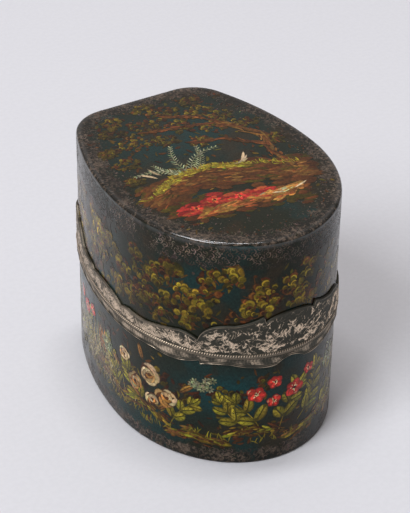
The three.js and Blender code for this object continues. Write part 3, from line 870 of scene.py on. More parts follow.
def lay_blossom(painting, across, up, radius, petal, light, heart):
    """An open blossom: mottled petals with broken pale rims, a dark heart and pale stamens."""
    random = painting.random
    turn = turns_round(random, BLOSSOM_PETALS, 0.15)
    far = random.uniform(0.42, 0.6, BLOSSOM_PETALS) * radius
    x, y = away(across, up, far, turn, 0.85)
    painting.add(x, y, turn, 1.15 * radius, 1.0 * radius, petal * 0.7, petal, fullness=0.5, layer=5.0)
    painting.add(x, y, turn + 0.3, 0.8 * radius, 0.5 * radius, petal * 1.1, petal * 1.3, layer=6.0)
    lit = random.uniform(0, 1, BLOSSOM_PETALS) < 0.45
    rim = (x[lit] + 0.35 * radius * np.cos(turn[lit]), y[lit] + 0.3 * radius * np.sin(turn[lit]))
    painting.add(*rim, turn[lit] + math.pi / 2, 0.6 * radius, 0.14 * radius, 0.5 * light + 0.3 * petal,
                 bend=1.1, layer=7.0)
    painting.add(across, up, 0.3, 0.45 * radius, 0.4 * radius, heart, fullness=0.5, layer=7.0)
    spin = random.uniform(0, 2 * math.pi, 2 * BLOSSOM_PETALS)
    reach = random.uniform(0.1, 0.45, 2 * BLOSSOM_PETALS) * radius
    painting.add(*away(across, up, reach, spin), spin, 0.2 * radius, 0.12 * radius, light, fullness=0.5,
                 layer=8.0)


def lay_rose(painting, across, up, radius, pale, warm, shade):
    """A full blossom: rings of crescent petals from outside in, each with a shadow behind it."""
    random = painting.random
    painting.add(across, up, random.uniform(0, 3), 2.1 * radius, 1.7 * radius, shade, fullness=0.5, layer=4.0)
    for ring, (share, count) in enumerate(((0.82, 6), (0.56, 5), (0.3, 4))):
        turn = turns_round(random, count, 0.3)
        x, y = away(across, up, share * radius * random.uniform(0.75, 1.25, count), turn, 0.85)
        mixed = np.clip(random.uniform(-0.3, 1.2, (count, 1)) - 0.4 * np.sin(turn)[:, None], 0, 1)
        colour = (pale * (1 - mixed) + warm * mixed) * random.uniform(0.55, 1.05, (count, 1))
        long = 1.25 * radius * (0.45 + 0.55 * share) * random.uniform(0.8, 1.3, count)
        lean = turn + math.pi / 2 + random.normal(0, 0.3, count)
        painting.add(*away(x, y, -0.2 * radius, turn), lean, long, 0.5 * radius, shade, bend=1.7,
                     layer=5.0 + ring)
        painting.add(x, y, lean, long, random.uniform(0.28, 0.46, count) * radius, colour, colour * 0.65,
                     bend=random.uniform(1.2, 2.2, count), layer=5.6 + ring)
    painting.add(across, up, 0.6, 0.4 * radius, 0.3 * radius, shade, fullness=0.5, layer=9.0)


def lay_tuft(painting, across, up, reach, count, colour, light, lean=math.pi / 2, layer=1.0):
    """Grass blades that fan out from a root."""
    random = painting.random
    angle = lean + random.normal(0, 0.45, count)
    length = reach * random.uniform(0.5, 1.0, count)
    foot = across + random.normal(0, 0.25 * reach, count)
    width = random.uniform(0.15, 0.34, count)
    painting.add(*away(foot, up, 0.5 * length, angle), angle, length, width, colour, light,
                 bend=random.normal(0, 0.5, count), layer=layer)


def lay_bank(painting, points, thickness, colours, count, layer=0.0, length=2.6, width=0.6, vary=0.35,
             fade=1.0):
    """Long dabs of several colours along a line through points."""
    random = painting.random
    x, y, angle = curve_line(points)(random.uniform(0, 1, count))
    off = random.normal(0, 0.35, count) * thickness
    colour = np.asarray(colours)[random.integers(0, len(colours), count)]
    painting.add(*beside(x, y, off, angle), angle + random.normal(0, 0.2, count),
                 length * random.uniform(0.5, 1.5, count), width * random.uniform(0.5, 1.5, count), colour,
                 colour * 0.6, bend=random.normal(0, 0.4, count), layer=layer + random.uniform(0, 2, count),
                 vary=vary, fade=fade)


def lay_scrolls(painting, low, high, pitch, colour, light, cover, shift=0.0, glow=0.0):
    """A border of C-scrolls, small curls and dots between two lines, worn away here and there.

    It goes once round the wall. glow brightens it round the place 27 mm left of the nose with a
    painted glint, where the light catches the curls.
    """
    random = painting.random
    start = shift - HALF_MM
    count = max(1, round(2 * HALF_MM / pitch))
    centre = start + (np.arange(count) + 0.5) * (HALF_MM + shift - start) / count
    centre = centre[random.uniform(0, 1, count) < cover]
    count = len(centre)
    middle = (low + high) / 2
    tall = high - low
    side = np.where(np.arange(count) % 2 == 0, 1.0, -1.0)
    fades = random.uniform(0.25, 1.0, (count, 1))
    # Painted glint: the strokes are brightened round GLINT_PLACE, where the light catches them
    fades = fades * (1 + glow * np.exp(-((centre[:, None] - GLINT_PLACE) / 12) ** 2))
    tone = np.asarray(colour) * fades
    lit = np.asarray(light) * fades
    for along, rise, angle, length, width, first, tip, bend, layer in (
            (-0.12 * pitch, 0.1, side * math.pi / 2, 1.4 * tall, 0.14, tone, lit, side * 3.6, 0.0),
            (0.3 * pitch, -0.16, side * 0.4, 0.85 * tall, 0.12, lit, tone, -side * 3.9, 1.0),
            (0.05 * pitch, 0.38, 0.0, 0.6 * pitch, 0.1, tone * 0.8, None, -side * 1.2, 0.0)):
        painting.add(centre + along, middle + rise * tall * side, angle, length, width * tall, first, tip,
                     bend=bend, fullness=0.5, layer=layer)
    for _ in range(3):
        painting.add(centre + random.uniform(-0.5, 0.5, count) * pitch,
                     middle + random.uniform(-0.5, 0.5, count) * tall, random.uniform(0, 3, count),
                     0.2 * tall, 0.11 * tall, lit * 0.9, fullness=0.5, layer=1.0)


def lay_specks(painting, across, up, colours, size):
    """Loose dabs of mixed colours that break up a plain ground."""
    random = painting.random
    count = len(across)
    colour = np.asarray(colours)[random.integers(0, len(colours), count)]
    painting.add(across, up, random.uniform(0, math.pi, count), size * random.uniform(0.5, 1.6, count),
                 size * random.uniform(0.25, 0.6, count), colour, colour * 0.6,
                 bend=random.normal(0, 1.0, count), vary=0.35)


def scatter_specks(painting, count, across, up, colours, size):
    """Specks over a field, given by the lowest and highest places across and up."""
    random = painting.random
    lay_specks(painting, random.uniform(*across, count), random.uniform(*up, count), colours, size)


def lay_foliage(painting, across, up, wide, tall, count, olive, rust, radius):
    """A tuft of round leaves over dim dabs, olive and rust mixed, brightest at its upper left."""
    random = painting.random
    dabs = round(1.5 * count)
    turn = random.uniform(0, 2 * math.pi, dabs)
    far = np.sqrt(random.uniform(0, 1, dabs))
    x = across + wide * far * np.cos(turn)
    y = up + tall * far * np.sin(turn)
    lay_specks(painting, x, y, [olive * 0.34, rust * 0.45, rust * 0.6, olive * 0.2], 2.4 * radius)
    x, y = x[:count], y[:count]
    lit = np.clip(0.62 + 0.3 * (y - up) / tall - 0.15 * (x - across) / wide, 0.2, 1.1)[:, None]
    mixed = (random.uniform(0, 1, (count, 1)) < 0.28).astype(float)
    colour = (olive * (1 - mixed) + rust * mixed) * lit
    lay_ringlets(painting, x, y, radius * random.uniform(0.6, 1.15, count), colour)


def between_heights(low, high):
    """A test that points of a wall painting lie between two heights."""
    return lambda across, up: (up > low) & (up < high)


def over_lid_band(high):
    """A test that points of the lid's wall painting lie over its band and under a height."""
    def inside(across, up):
        """Whether points lie over the band's edge, with 0.2 mm to spare, and under the height."""
        band = (JOINT_Z + lid_band_height(across * MM)) / MM + 0.2
        return (up > band) & (up < high)

    return inside


def on_top_face(across, up):
    """Whether points of the top painting lie inside the lid's outline."""
    reach = np.interp(up * MM, HALF_PLAN[:, 1], HALF_PLAN[:, 0]) / MM
    return np.abs(across) < reach - 1.2


def hang_foliage(painting, settings, rows):
    """Hanging foliage of round leaves in rows over the lid's wall, with rust-brown twigs.

    A row is its lowest and highest middle, its tufts' half width and the leaves in each.
    """
    random = painting.random
    olive, rust, border = shades(settings, "olive rust border")
    for row, (low, high, wide, leaves) in enumerate(rows):
        for number in range(FOLIAGE_TUFTS):
            place = number + 0.33 * row + random.uniform(-0.3, 0.3)
            across = -HALF_MM + place * 2 * HALF_MM / FOLIAGE_TUFTS
            up = random.uniform(low, high)
            dim = 0.8 + 0.28 * math.sin(across / 8.0 + 0.9 * row + 2.6) - 0.12 * (row == 0)
            warm = rust * (0.35 + 0.6 * dim)
            lay_stem(painting, across - 2, up + 3, random.uniform(-1.3, 0.0), random.uniform(4, 7), 0.22,
                     warm * 0.5, random.normal(0, 1.0), 4, 0.0)
            lay_foliage(painting, across, up, random.uniform(0.8, 1.15) * wide, random.uniform(1.8, 2.8),
                        leaves, olive * dim, warm, 1.05)
    tones = [rust * 0.3, olive * 0.22, border * 0.25]
    scatter_specks(painting, 160, (-HALF_MM, HALF_MM), (34, 53), tones, 1.6)


def paint_high_foliage(painting, settings):
    """The two upper rows of foliage on the lid's wall."""
    hang_foliage(painting, settings, ((46.0, 49.5, 2.8, 11), (42.0, 46.0, 3.2, 12)))


def paint_low_foliage(painting, settings):
    """The two lower rows of foliage on the lid's wall."""
    hang_foliage(painting, settings, ((37.5, 41.5, 3.4, 12), (34.8, 38.0, 3.2, 10)))


def paint_lid_edge(painting, settings):
    """The line of fine scrolls under the arris."""
    dim, = shades(settings, "border")
    rows = ((55.4, 56.9, 0.9), (54.0, 55.5, 1.1), (52.7, 54.1, 0.8), (51.5, 52.7, 0.5))
    for row, (low, high, tone) in enumerate(rows):
        # The last number is the strength of the painted glint on the lit left flank
        lay_scrolls(painting, low, high, 1.3, dim * 0.6 * tone, dim * tone, 0.92, 0.5 * row, 0.8)


def paint_top_border(painting, settings):
    """The worn scroll border round the top face, just inside the arris."""
    dim, rust = shades(settings, "border rust")
    for low, high, tone in ((0.1, 1.3, 1.2), (1.3, 2.6, 1.0), (2.5, 3.9, 0.7)):
        lay_scrolls(painting, low, high, 1.6, dim * 0.7 * tone, dim * tone, 0.7)
    random = painting.random
    across = random.uniform(-HALF_MM, HALF_MM, BORDER_SPECKS)
    inward = 2.5 + 7 * random.uniform(0, 1, BORDER_SPECKS) ** 2
    lay_specks(painting, across, inward, [dim * 0.55, dim * 0.4, rust * 0.45, dim * 0.8], 0.6)


def curve_line(points):
    """A line through points, as a function of a share that gives x, y and the direction."""
    points = np.asarray(points, float)

    def at(share):
        """x and y at a share of the line, by the points on either side of it."""
        share = np.clip(share, 0, 1)
        return [np.interp(share, np.linspace(0, 1, len(points)), points[:, k]) for k in range(2)]

    def line(share):
        """The place, and the direction from a little behind it to a little ahead."""
        (x, y), ahead, behind = at(share), at(share + 0.03), at(share - 0.03)
        return x, y, np.arctan2(ahead[1] - behind[1], ahead[0] - behind[0])

    return line


def paint_top_ground(painting, settings):
    """The top face's earth knoll, moss, tree and the glowing bed in front.

    A bank is its line, thickness, colours, strokes, layer, and a stroke's length, width, spread of
    tone and softness.
    """
    rust, ochre, olive, red, light, cream = shades(settings, "rust ochre olive red light_leaf cream")
    knoll = [(-19, -7), (-12, -3.8), (-4, -3.4), (4, -6), (12, -9.5), (18, -10.5)]
    front = [(-17, -11), (-8, -13), (2, -17), (12, -19)]
    moss = [(-16, -4), (-9, -0.8), (-1, -0.6), (7, -4)]
    bed = [(-15, -13.6), (-8, -12.8), (0, -13.8), (7, -16)]
    bed_edge = [(-13, -16.2), (-5, -15.8), (3, -17.2), (13, -17.0)]
    bed_end = [(3, -15.8), (8, -16.2), (13, -15.6)]
    trunk = [(15.5, -9), (14.4, -2), (16.5, 5), (13.5, 11), (9.5, 15)]
    boughs = [(14.5, 2), (8, 8), (1, 10)], [(13, 12), (8, 19), (1, 23)], [(9.5, 15), (2, 17), (-7, 19)]
    glow = 0.5 * red
    for bank in (
            (knoll, 6.0, [rust * 0.4, rust * 0.5, olive * 0.2, rust * 0.55], 330, 0.0, 4.6, 2.0, 0.12, 0.4),
            (knoll, 5.5, [rust * 0.45, rust * 0.6, rust * 0.75, ochre * 0.3], 240, 1.0, 3.4, 0.9, 0.2, 0.5),
            (knoll, 5.0, [rust, ochre * 0.55, rust * 0.8], 80, 3.0, 2.0, 0.4, 0.3, 0.6),
            (front, 5.5, [rust * 0.35, olive * 0.16, rust * 0.5], 240, 0.0, 3.8, 1.5, 0.15, 0.5),
            (moss, 1.7, [olive, light, olive * 0.6], 230, 2.0, 1.6),
            (bed, 2.4, [red * 0.75, red * 0.9, glow, glow + 0.2 * ochre], 200, 3.0, 3.2, 1.1, 0.2, 0.4),
            (bed_edge, 2.0, [ochre * 0.9, ochre * 0.55, glow + 0.4 * ochre, rust], 170, 4.0, 2.8, 0.8, 0.25,
             0.5),
            (bed_end, 1.5, [cream * 0.8, ochre, ochre * 0.8], 40, 5.0, 3.0, 0.7),
            (trunk, 1.5, [rust * 0.8, rust * 0.5, ochre * 0.4], 130, 3.0, 3.0),
            *((bough, 0.7, [rust * 0.7, rust * 0.45], 60, 3.0, 2.4) for bough in boughs)):
        lay_bank(painting, *bank)


def paint_top_flowers(painting, settings):
    """The top face's foliage, pale fronds, blossoms and grass."""
    random = painting.random
    names = "olive rust pale_leaf cream light_leaf red ochre heart"
    olive, rust, pale, cream, light, red, ochre, heart = shades(settings, names)
    for x, y, wide in (
            (9, 21, 4.2), (2, 24, 4.2), (-5, 21, 4.4), (-10, 16, 3.8), (2, 17.5, 4.0), (9, 13.5, 3.6),
            (-4, 13.5, 3.4), (16, 12, 3.2), (-12.5, 22, 3.2), (3, 9.5, 2.8), (-16, 9, 3.2), (-1, 28, 3.0),
            (-17, 15, 2.6), (13, 17, 3.0), (-10, 26, 2.6), (10, 26, 2.6), (18, 3, 2.4), (-18, 2, 2.4)):
        dim = random.uniform(0.4, 0.85) - 0.012 * max(0.0, y - 12)
        lay_foliage(painting, x, y, wide, 0.72 * wide, 26, olive * dim, rust * (0.3 + 0.6 * dim), 0.66)
    for x, y, lean, bend, long in ((-7, -0.5, 2.2, 1.1, 11), (-6, 0, 1.8, -0.8, 11), (-5, 0, 1.2, -1.3, 12),
                                   (-4, -0.5, 0.7, 0.7, 10), (-6.5, -0.5, 2.7, -0.9, 8)):
        stem = lay_stem(painting, x, y, lean, long, 0.26, pale * 0.5, bend, 12, 3.0)
        for index, (px, py, turned) in enumerate(stem):
            size = 1.9 - 0.1 * index
            for side in (-1, 1):
                painting.add(*away(px, py, 0.4 * size, turned + side), turned + side * 0.8, size, 0.3,
                             pale * random.uniform(0.4, 1.1), layer=4.0, vary=0.3)
    for x, y, lean in ((5.5, -2.5, 0.5), (6.5, -2.0, 0.9), (4.5, -2.5, 0.15), (-13, 1.0, 2.3),
                       (-12, 1.5, 1.9)):
        painting.add(*away(x, y, 1.8, lean), lean, 4.2, 0.75, cream * 0.55, cream * 0.85,
                     bend=random.normal(0, 0.4), layer=5.0)
    for x, y, size in ((-12, -13.4, 1.5), (-7.0, -12.4, 1.8), (-1.5, -13.8, 1.6)):
        lay_blossom(painting, x, y, size, red, ochre, heart)
    line = curve_line([(-18, -6), (-9, -1), (-1, -0.8), (8, -4.5), (17, -8.5)])
    for share in np.linspace(0, 1, 24):
        x, y, _ = line(share)
        lay_tuft(painting, x, y, 2.4, 6, olive * 0.4, light * 0.9, layer=5.0)
    scatter_specks(painting, 260, (-19, 19), (-22, 28), [olive * 0.2, rust * 0.25], 1.6)


def paint_base_ground(painting, settings):
    """Broken banks of earth and grass round the base, with dim foliage behind."""
    random = painting.random
    rust, ochre, olive, light = shades(settings, "rust ochre olive light_leaf")
    for start in np.arange(-HALF_MM, HALF_MM - 10, 13.5):
        level = random.uniform(4.5, 11.0)
        line = [(start, level), (start + 6, level + 1.2), (start + 14, level + random.normal(0, 2.4))]
        warm = random.uniform(0.3, 0.8)
        lay_bank(painting, line, 2.4, [rust * warm, ochre * 0.35 * warm, olive * 0.3, rust * 0.35], 75)
        lay_bank(painting, line, 0.9, [olive * 0.7, light * 0.6, ochre * 0.5 * warm], 26, 2.0, 2.2)
    for across in np.linspace(-HALF_MM, HALF_MM, 64)[:-1]:
        lay_tuft(painting, across + random.normal(0, 0.8), random.uniform(5, 8), 2.8, 5, olive * 0.3,
                 light * 0.55, layer=2.0)
    for across in np.linspace(-HALF_MM, HALF_MM, 30)[:-1]:
        lay_foliage(painting, across + random.normal(0, 1), random.uniform(13, 23), 2.8, 2.4, 5,
                    olive * 0.38, rust * 0.4, 1.0)
    scatter_specks(painting, 420, (-HALF_MM, HALF_MM), (5, 25.5), [olive * 0.25, rust * 0.3], 1.6)


def paint_base_flowers(painting, settings):
    """Flower sprays round the base: red blossoms, cream roses, pale clusters and long leaves."""
    random = painting.random
    names = "olive light_leaf rust ochre red cream heart pale_leaf"
    olive, light, rust, ochre, red, cream, heart, pale = shades(settings, names)
    for x, y, lean, bend, long, leaf, pairs in (
            (-6, 8.5, 1.9, 0.6, 10, 4.4, 3), (-2, 8, 1.4, -0.5, 11, 4.8, 3), (3, 9, 0.7, 0.9, 13, 4.4, 5),
            (9, 8, 0.3, 0.7, 14, 3.8, 6), (-9, 10, 2.7, -0.8, 9, 4.0, 3), (12, 14.5, 0.9, -0.6, 9, 3.4, 4),
            (-34, 7.5, 1.9, 0.5, 10, 4.4, 3), (-27, 7, 1.3, -0.6, 9, 4.0, 3), (-43, 8, 1.7, 0.6, 11, 3.6, 4),
            (36, 7.5, 1.7, 0.5, 11, 4.4, 4), (42, 7, 1.2, -0.5, 11, 4.0, 4), (64, 7, 1.6, 0.4, 11, 4.2, 4),
            (-62, 7, 1.6, -0.4, 11, 4.2, 4), (84, 7, 1.5, 0.4, 10, 4.0, 4), (-84, 7, 1.7, -0.4, 11, 4.0, 4)):
        lay_spray(painting, x, y, lean, long, bend, leaf, light, olive * 0.5, pairs)
    for x, y, size in (
            (-7.5, 19.0, 2.2), (-3.2, 21.6, 1.8), (1.6, 18.4, 2.3), (-3.4, 16.6, 1.7), (5.6, 21.8, 1.5),
            (35, 19.5, 2.1), (40, 21.0, 1.8), (44, 18.0, 2.0), (62, 19.0, 2.0), (67, 20.5, 1.7),
            (-62, 19, 2.1), (-57.5, 20.8, 1.7), (-66, 20.5, 1.6), (84, 18.5, 2.0), (-84, 19, 2.0)):
        lay_blossom(painting, x, y, size, red, cream, heart)
    for x, y, size in (
            (-32.5, 18.6, 3.0), (-37, 14.6, 2.6), (-27.6, 14.4, 2.9), (-40.8, 19.6, 2.0), (-31.6, 12.4, 1.9),
            (24, 19, 2.2), (52, 17.5, 2.7), (56, 14.6, 2.1), (-74, 17.5, 2.6), (76, 18.5, 2.4)):
        lay_rose(painting, x, y, size, cream, ochre, rust * 0.35)
    for x, y, lean in ((-35, 11, 2.5), (-30, 10.4, 0.8), (-24.5, 17.5, 0.7), (-42.5, 15, 2.6),
                       (-34.5, 21.6, 1.9)):
        lay_leaf(painting, x, y, lean, 4.2, 1.3, ochre * 0.8, 3.0)
    for x in (19.5, 21.5, 30.0, -52.0, -50.0, 72.0, -92.0):
        for lean in (1.3, 1.6, 1.9):
            painting.add(*away(x, 14, 3, lean), lean, 7.0, 0.7, rust * 0.8, ochre * 0.9,
                         bend=random.normal(0, 0.5), layer=3.0)
    straw = 0.45 * cream + 0.3 * light
    for x in np.linspace(-68, -44, 26):
        lay_tuft(painting, x, random.uniform(6, 11), random.uniform(6, 13), 5,
                 straw * random.uniform(0.5, 0.9), straw * random.uniform(0.7, 1.1),
                 math.pi / 2 + random.normal(0, 0.15))
    for x, y in ((-19.0, 21.0), (-48.5, 18.0), (14.5, 21.0), (29, 21.5), (58, 21), (-69, 16.0), (93, 20)):
        for _ in range(9):
            turn = random.uniform(0, 2 * math.pi)
            far = 2.7 * math.sqrt(random.uniform(0, 1))
            middle = x + 1.2 * far * math.cos(turn), min(y + far * math.sin(turn), 24.2)
            spin = np.arange(7) * 0.9 + turn
            painting.add(*away(*middle, 0.6, spin), spin, 0.95, 0.5, pale * 0.35,
                         pale * random.uniform(0.5, 1.1), layer=4.0, vary=0.3)


def paint_base_edge(painting, settings):
    """The worn border of scrolls along the foot."""
    dim, = shades(settings, "border")
    lay_scrolls(painting, 0.9, 2.9, 2.3, dim * 0.7, dim * 1.1, 0.7)
    lay_scrolls(painting, 2.7, 4.2, 2.0, dim * 0.5, dim * 0.8, 0.5)


def paint_pictures(context, body, pictures):
    """Paints a body's pictures: each has a name, a painter, a seed of its own, a surface and limits."""
    settings = context.scene.case_paint
    material = bpy.data.materials.get("painting") or paint_material()
    for name, painter, seed, place, inside in pictures:
        painting = Painting(settings.seed + seed)
        painter(painting, settings)
        points, faces, colours = painting.mesh_parts(place, inside, settings.under_paint, settings.softness)
        piece = make_piece(name, points, faces, material, body)
        add_colours(piece, "paint", colours)


# Silver bands


def edge_line(start, curves):
    """A shaped edge as points: quadratic curves from a start, each given by its control and end."""
    t = np.linspace(0, 1, CURVE_SAMPLES)[1:, None]
    points = [np.array([start])]
    for control, end in curves:
        begin = points[-1][-1]
        points.append((1 - t) ** 2 * begin + 2 * t * (1 - t) * np.array(control) + t**2 * np.array(end))
    return np.concatenate(points) * MM


def lid_band_curves():
    """The lid band's upper edge from the nose to the back: distance round and height, in millimetres."""
    crest = HALF_MM - 31.9
    shoulder = HALF_MM - 22.3
    arch = HALF_MM - 6.0

    def side(share):
        """The distance at a share of the way along the side, between the two crests."""
        return FRONT_CREST_END + share * (crest - FRONT_CREST_END)

    return [
        ((4.02, 10.8), (6.0, 9.2)),
        ((6.2, 9.9), (6.4, 10.6)),
        ((9.0, 9.2), (12.5, 8.6)),
        ((19.3, 8.6), (FRONT_CREST_END, 4.1)),
        ((side(0.05), 5.5), (side(0.11), 5.4)),
        ((side(0.2), 4.7), (side(0.29), 4.0)),
        ((side(0.37), 3.7), (side(0.43), 4.2)),
        ((side(0.475), 4.0), (side(0.5), 3.4)),
        ((side(0.56), 5.0), (side(0.64), 5.0)),
        ((side(0.76), 5.2), (side(0.82), 4.4)),
        ((side(0.84), 5.1), (side(0.88), 5.1)),
        ((side(0.95), 5.0), (crest, 5.4)),
        ((crest + 4, 8.6), (shoulder - 3.2, 8.6)),
        ((shoulder - 2, 8.6), (shoulder, 10.4)),
        ((shoulder + 3, 8.6), (arch - 6, 8.6)),
        ((arch - 2, 8.6), (arch - 0.4, 10.6)),
        ((arch - 0.2, 9.9), (arch, 9.2)),
        ((arch + 1.98, 10.8), (HALF_MM, 10.8)),
    ]


def base_band_curves():
    """The base band's lower edge the same way, as a depth."""
    back = HALF_MM - 21.0
    return [
        ((1.8, 1.0), (3.4, 2.4)),
        ((6.5, 3.0), (13.0, 1.6)),
        ((17.0, 1.4), (19.7, 2.2)),
        ((19.8, 1.7), (19.9, 1.2)),
        ((22.9, 2.5), (26.7, 2.5)),
        ((29.0, 2.3), (31.2, 1.9)),
        ((40.0, 1.9), (back - 5, 1.9)),
        ((back - 1, 1.9), (back, 2.8)),
        ((back + 3, 5.4), (back + 8, 5.4)),
        ((HALF_MM - 4, 5.4), (HALF_MM, 5.4)),
    ]


LID_BAND_EDGE = edge_line((0.0, 10.8), lid_band_curves())
BASE_BAND_EDGE = edge_line((0.0, 0.9), base_band_curves())


def edge_at(edge, distance):
    """How far a shaped edge is from the joint at distances round the wall, by symmetry about the nose."""
    wrapped = (np.asarray(distance) + HALF_LENGTH) % LENGTH - HALF_LENGTH
    return np.interp(np.abs(wrapped), edge[:, 0], edge[:, 1])


def lid_band_height(distance):
    """Height of the lid band above the joint."""
    return edge_at(LID_BAND_EDGE, distance)


def ridge(distance, height, lines, width):
    """Ridges along lines of points: exp(-(d / width)^2) of the distance d to the nearest point.

    It is worked out strip by strip round the wall, with only the line points near each strip. A point
    may have a tone as a third number: then the tone of the nearest point comes back too.
    """
    result = np.zeros(distance.shape)
    tones = np.ones(distance.shape)
    flat_distance, flat_height = distance.ravel(), height.ravel()
    flat_result, flat_tones = result.ravel(), tones.ravel()
    order = np.argsort(flat_distance, kind="stable")
    lines = lines[np.argsort(lines[:, 0], kind="stable")]
    for part in np.array_split(order, RIDGE_STRIPS):
        s = flat_distance[part]
        first, last = np.searchsorted(lines[:, 0], [s.min() - 3 * width, s.max() + 3 * width])
        if first == last:
            continue
        near = lines[first:last]
        gap = (s[:, None] - near[:, 0]) ** 2 + (flat_height[part][:, None] - near[:, 1]) ** 2
        flat_result[part] = np.exp(-gap.min(1) / width**2)
        if near.shape[1] > 2:
            flat_tones[part] = near[gap.argmin(1), 2]
    return (result, tones) if lines.shape[1] > 2 else result


def both_sides(points):
    """Points on one side of the nose, and the same mirrored on the other."""
    mirror = np.ones(points.shape[1])
    mirror[0] = -1
    return np.concatenate([points, points * mirror])


def scroll(centre_x, centre_y, radius, start, turns, samples):
    """A spiral scroll: the radius shrinks evenly to a quarter while the angle turns."""
    t = np.linspace(0, 1, samples)
    return np.stack(away(centre_x, centre_y, radius * (1 - 0.75 * t), start + turns * 2 * math.pi * t), 1)


def frond(x, y, angle, length, bend):
    """A leaf rib: an arc whose direction turns evenly."""
    turned = angle + bend * np.linspace(0, 1, FROND_SAMPLES)
    step = length / FROND_SAMPLES
    return np.stack([x + np.cumsum(np.cos(turned)) * step, y + np.cumsum(np.sin(turned)) * step], 1)


def band_scrolls(height_at, low, seed):
    """Running scrolls with fronds that fill a band: each is as large as the band is tall there."""
    random = np.random.default_rng(seed)
    broad, fine = [], []
    place = 1.6 * MM
    way = 1
    while place < HALF_LENGTH - 1.0 * MM:
        tall = max(1.2 * MM, float(height_at(place)) - low - 0.7 * MM)
        middle = low + 0.25 * MM + tall / 2
        radius = 0.40 * tall
        start = -way * math.pi / 2 + random.normal(0, 0.2)
        broad.append(scroll(place, middle, radius, start, way * 1.35, 46))
        for number in range(5):
            lean = start + way * (0.6 + 1.15 * number)
            fine.append(frond(*away(place, middle, radius, lean), lean + way * 0.9, 0.5 * tall, -way * 1.4))
        curl = middle - way * 0.28 * tall
        fine.append(scroll(place + 0.55 * tall, curl, 0.15 * tall, start, -way * 1.2, 24))
        place += 0.86 * tall
        way = -way
    return np.concatenate([both_sides(np.concatenate(broad)), both_sides(np.concatenate(fine))])


def even_stations(count):
    """Evenly spaced distances round the wall."""
    return np.arange(count) / count * LENGTH - HALF_LENGTH


def band_grid(stations, low, high, rows):
    """Heights in even steps from one edge to another at each station, and the distances there."""
    height = low[:, None] + (high - low)[:, None] * np.linspace(0, 1, rows)
    return height, np.broadcast_to(stations[:, None], height.shape)


def handled(distance):
    """Where hands have rubbed the silver: from 0 on the nose to 1 on the flanks, 20 to 30 mm round."""
    return smooth_step(np.abs(distance), 20 * MM, 30 * MM)


def punched(distance, height, seed):
    """Fine punched grain: the product of two slanted waves with a slow drift of their phase."""
    random = np.random.default_rng(seed)
    drift = random.uniform(0, 6, 4)
    slow = np.sin(distance / (3.1 * MM) + drift[0]) + np.sin(height / (1.3 * MM) + drift[1])
    first = np.sin((distance + height) / (0.085 * MM) + slow + drift[2])
    second = np.sin((distance - height) / (0.085 * MM) - slow + drift[3])
    return first * second


def band_piece(name, stations, low, high, relief, level, material, body, replaced):
    """A silver band: its front is raised by relief, its back is flat on the lacquer.

    low and high are its two edges. Each is a pair of heights, of the back face and of the front.
    """
    height, distance = band_grid(stations, low[1], high[1], relief.shape[1])
    front = on_wall(distance, height, BAND_OUTSIDE + relief)
    back_low = on_wall(stations, low[0], BAND_INSIDE)[:, None]
    back_high = on_wall(stations, high[0], BAND_INSIDE)[:, None]
    points = np.concatenate([back_low, front, back_high], 1)
    faces = grid_faces(len(stations), points.shape[1], True, True)
    piece = make_piece(name, points, faces, material, body, (replaced,), 60.0)
    add_values(piece, "relief", np.concatenate([level[:, :1], level, level[:, -1:]], 1))


def hatching(distance, height, spacing, seed):
    """Fine engraved lines, -1 to 1: a wave across a slant that turns slowly from place to place."""
    random = np.random.default_rng(seed)
    a, b = random.uniform(0, 6, 2)
    slow = 2.4 * np.sin(distance / (2.3 * MM) + a)
    slow = slow + 1.8 * np.sin(height / (1.4 * MM) + distance / (4.1 * MM) + b)
    return np.sin((distance + 0.8 * height) / spacing + slow)


def fronds_field(height_at, low, count, seed):
    """Curved blades all over a band, whose directions swirl like cut leaves, each with its own tone."""
    random = np.random.default_rng(seed)
    across = random.uniform(0, HALF_LENGTH, count)
    tall = height_at(across) - low - 0.7 * MM
    up = low + 0.2 * MM + tall * random.uniform(0, 1, count) ** 1.25
    swirl = 2.2 * np.sin(across / (2.1 * MM) + 1.7 * np.sin(up / (1.5 * MM)))
    swirl = swirl + 1.3 * np.cos(up / (0.9 * MM))
    length = random.uniform(0.8, 2.4, count) * MM
    bend = random.normal(0, 1.1, count)
    tones = random.uniform(0.3, 1.1, count)
    arcs = [np.insert(frond(*blade), 2, tone, 1)
            for *blade, tone in zip(across, up + JOINT_Z, swirl, length, bend, tones)]
    return both_sides(np.concatenate(arcs))


def cloud(distance, height, size, seed):
    """Soft patches between 0 and 1, closed round the wall: a sum of waves of random direction."""
    random = np.random.default_rng(seed)
    total = np.zeros(distance.shape)
    for _ in range(9):
        turns = round(LENGTH / size * random.uniform(0.3, 1.2))
        rise = random.normal(0, 2 * math.pi / size)
        total += np.sin(2 * math.pi * turns * distance / LENGTH + rise * height + random.uniform(0, 6.3))
    return smooth_step(total / 3, -1.0, 1.0)


